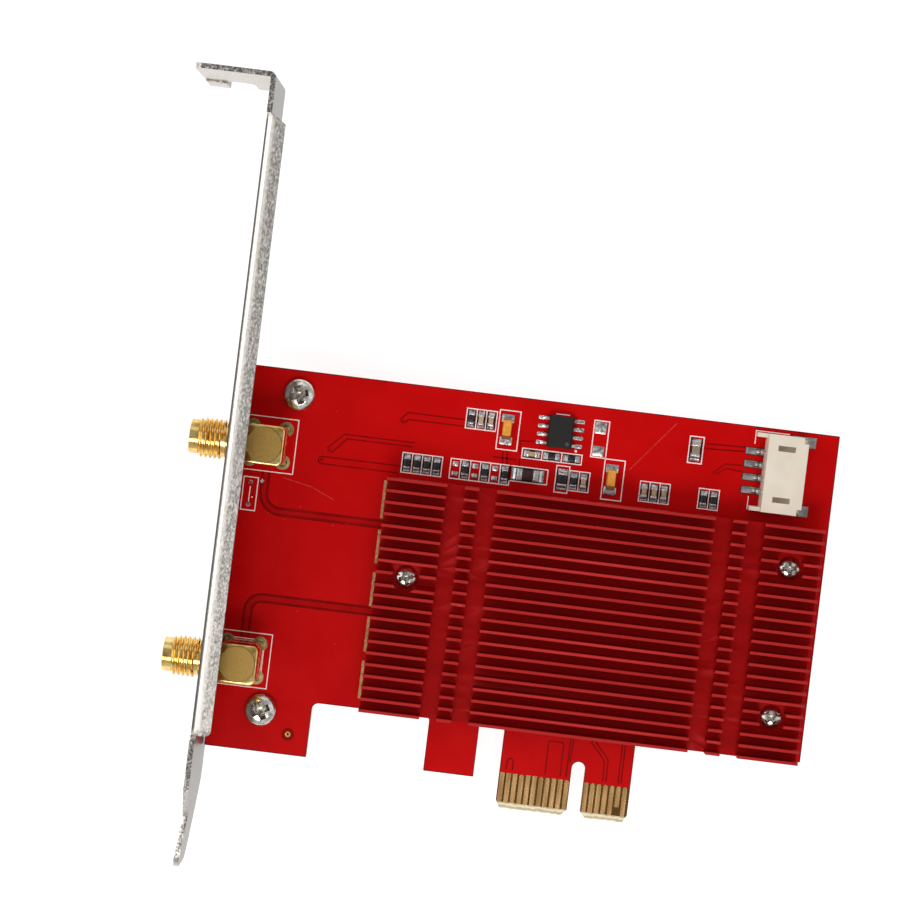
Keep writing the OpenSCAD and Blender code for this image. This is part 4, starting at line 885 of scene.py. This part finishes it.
def tantalum_finish(name, low):
    """Orange epoxy, a little waxy, with the brown band at its lower end."""
    material = surface(name, ("#DE8E22", "#F0A63C"), (0.32, 0.45), 0.6, relief=0.006)
    tree = material.node_tree
    shader = tree.nodes["Principled BSDF"]
    epoxy = shader.inputs["Base Color"].links[0].from_socket
    place = add(tree, "ShaderNodeTexCoord").outputs["Object"]
    along = add(tree, "ShaderNodeSeparateXYZ", {0: place}).outputs["Y"]
    band = add(tree, "ShaderNodeMapRange", {
        0: along, 1: (low.y + 0.55) * MM, 2: (low.y + 0.6) * MM, 3: 1.0, 4: 0.0}).outputs[0]
    tone = add(tree, "ShaderNodeMix", {0: band, 6: epoxy, 7: linear("#8A4A12")}, data_type="RGBA")
    tree.links.new(tone.outputs[2], shader.inputs["Base Color"])
    return material


bm = bmesh.new()
for side in ("left", "right"):
    low, high = corners(side + "_tantalum")
    x = (low.x + high.x) / 2
    epoxy = tantalum_finish(side + "_tantalum_epoxy", low)
    made = softened(side + "_tantalum", epoxy, 0.06)
    for vert in made.data.vertices:
        if vert.co.z > (low.z + high.z) / 2 * MM:
            vert.co.x = x * MM + TAPER * (vert.co.x - x * MM)
    softened(side + "_tantalum_terminals", tin, 0.04, 1)
    low, high = corners(side + "_tantalum_terminals")
    for y_low, y_high in ((low.y - 0.75, low.y + 0.5), (high.y - 0.5, high.y + 0.75)):
        block(bm, (x - 0.95, y_low, BOARD_FACE), (x + 0.95, y_high, BOARD_FACE + 0.1), 0.08, 3)
piece("tantalum_solder", bm, [tin])


# Chips: ceramic blocks with tinned end caps, soldered on pads a little longer than the chip, on a dark film
# that is painted shade round the chip and also stands for burnt flux. Resistors are white alumina under a
# glossy black glaze, capacitors plain tan or grey ceramic, the fuse brown.
def wedge(bm, x_low, x_high, half_w, height, finish):
    """Concave solder fillet that falls from x_low to x_high."""
    before = set(bm.faces)
    span = x_high - x_low
    line = [(0, 0), (1, 0), (0.98, 0.05), (0.6, 0.14), (0.3, 0.38), (0.1, 0.75), (0, 1)]
    loop = bm.faces.new([bm.verts.new((x_low + a * span, -half_w, b * height)) for a, b in line])
    grown = bmesh.ops.extrude_face_region(bm, geom=[loop])["geom"]
    moved = [part for part in grown if isinstance(part, bmesh.types.BMVert)]
    bmesh.ops.translate(bm, vec=(0, 2 * half_w, 0), verts=moved)
    bmesh.ops.recalc_face_normals(bm, faces=[face for face in bm.faces if face not in before])
    new_faces(bm, before, finish)


def chip(node, finishes, end, glaze=0.0, pad=0.6):
    """Chip drawn lengthways at the origin, from body, glaze, end caps and solder, then set in place."""
    low, high = corners(node)
    size = high - low
    upright = size.y > size.x
    half_l, half_w, height = max(size.x, size.y) / 2, min(size.x, size.y) / 2, size.z
    bm = bmesh.new()
    # A dark film under and round the chip: painted shade, and flux.
    film_l, film_w = half_l + pad + 0.05, half_w + 0.34
    block(bm, (-film_l, -film_w, 0), (film_l, film_w, FLUX_AND_SHADE_FILM), finish=4)
    body_l, body_w = half_l - 0.1, half_w - 0.04
    block(bm, (-body_l, -body_w, 0.02), (body_l, body_w, height - 0.03 - glaze), 0.04, 2)
    if glaze:
        glaze_l, glaze_w = half_l - end + 0.05, half_w - 0.03
        block(
            bm, (-glaze_l, -glaze_w, height - 0.05 - glaze), (glaze_l, glaze_w, height - 0.01),
            0.03, 2, finish=1)
    for side in (-1, 1):
        outer = side * half_l
        left, right = sorted((side * (half_l - end), outer))
        block(bm, (left, -half_w, 0.03), (right, half_w, height), 0.06, 3, finish=2)
        wedge(bm, outer - side * 0.03, outer + side * pad * 0.75, half_w + 0.02, height * 0.72, 3)
        left, right = sorted((side * (half_l - end - 0.1), side * (half_l + pad)))
        block(bm, (left, -half_w - 0.1, 0), (right, half_w + 0.1, 0.045), 0.04, 1, finish=3)
    place = Matrix.Translation(((low.x + high.x) / 2, (low.y + high.y) / 2, BOARD_FACE))
    if upright:
        place = place @ Matrix.Rotation(math.pi / 2, 4, "Z")
    bmesh.ops.transform(bm, matrix=place, verts=bm.verts)
    piece(node + "_finished", bm, [*finishes, flux_and_shade], (node,))


alumina = surface("alumina", ("#CBC6BA", "#E4E0D6"), (0.5, 0.65), 0.2, relief=0.01)
black_glaze = surface("black_glaze", ("#121416", "#24282A"), (0.2, 0.35), 0.3, relief=0.004)
tan_ceramic = surface("tan_ceramic", ("#A88A66", "#C2A684"), (0.4, 0.55), 0.3, relief=0.006)
brown_ceramic = surface("brown_ceramic", ("#2A0F0E", "#411A18"), (0.3, 0.42), 0.3, relief=0.006)
grey_ceramic = surface("grey_ceramic", ("#7E6A58", "#9C8773"), (0.4, 0.55), 0.3, relief=0.006)
end_tin = surface("end_cap_tin", ("#B9B9B6", "#F2F2F0"), (0.18, 0.36), 0.25, relief=0.02, metallic=1.0)
resistor = [alumina, black_glaze, end_tin, tin]
capacitor = [tan_ceramic, tan_ceramic, end_tin, tin]
for i in range(1, 14):
    chip("chip_resistor_%d" % i, resistor, 0.24, glaze=0.05, pad=0.5)
for i in range(1, 8):
    chip("chip_capacitor_%d" % i, capacitor, 0.3, pad=0.5)
chip("large_resistor", resistor, 0.32, glaze=0.06)
chip("large_capacitor", [grey_ceramic, grey_ceramic, end_tin, tin], 0.4, pad=0.7)
chip("fuse", [brown_ceramic, brown_ceramic, end_tin, tin], 0.72, pad=0.9)


# Solder side: the four legs and the middle pin of each jack end in bright cones of solder, and
# under the mask a thin line of copper leads away from each contact of the tongue.
BACK = -BOARD_FACE
BACK_LINE_WIDTH = 0.24
FACE_DOWN = Matrix.Rotation(math.pi, 4, "X")
cone = [(0, 0.85), (0.5, 0.8), (0.58, 0.5), (0.78, 0.2), (1.1, 0.04), (1.15, 0.0), (0, 0.0)]
corner_legs = [(dx, dy) for dx in (-LEG_OFFSET, LEG_OFFSET) for dy in (-LEG_OFFSET, LEG_OFFSET)]
bm = bmesh.new()
for y in JACKS_Y:
    for dx, dy in (*corner_legs, (0, 0)):
        turned(bm, cone, Matrix.Translation((-53.3 + dx, y + dy, BACK)) @ FACE_DOWN, steps=24)
piece("jack_solder", bm, [tin])

bm = bmesh.new()
for i in range(11):
    x, stagger = -1.5 - i, i % 3
    path = [(x, 6.0), (x, 9.0 + stagger), (x + 0.4, 10.2 + stagger), (x + 0.4, 14 + i * 0.8)]
    ribbon(bm, path, BACK_LINE_WIDTH, BACK - MASK_FILM, BACK)
for i in range(7):
    x, stagger = 1.5 + i, i % 2
    path = [(x, 6.0), (x, 9.5 + stagger), (x - 0.4, 10.6 + stagger), (x - 0.4, 15 + i * 0.8)]
    ribbon(bm, path, BACK_LINE_WIDTH, BACK - MASK_FILM, BACK)
piece("solder_side_lines", bm, [dark_mask])
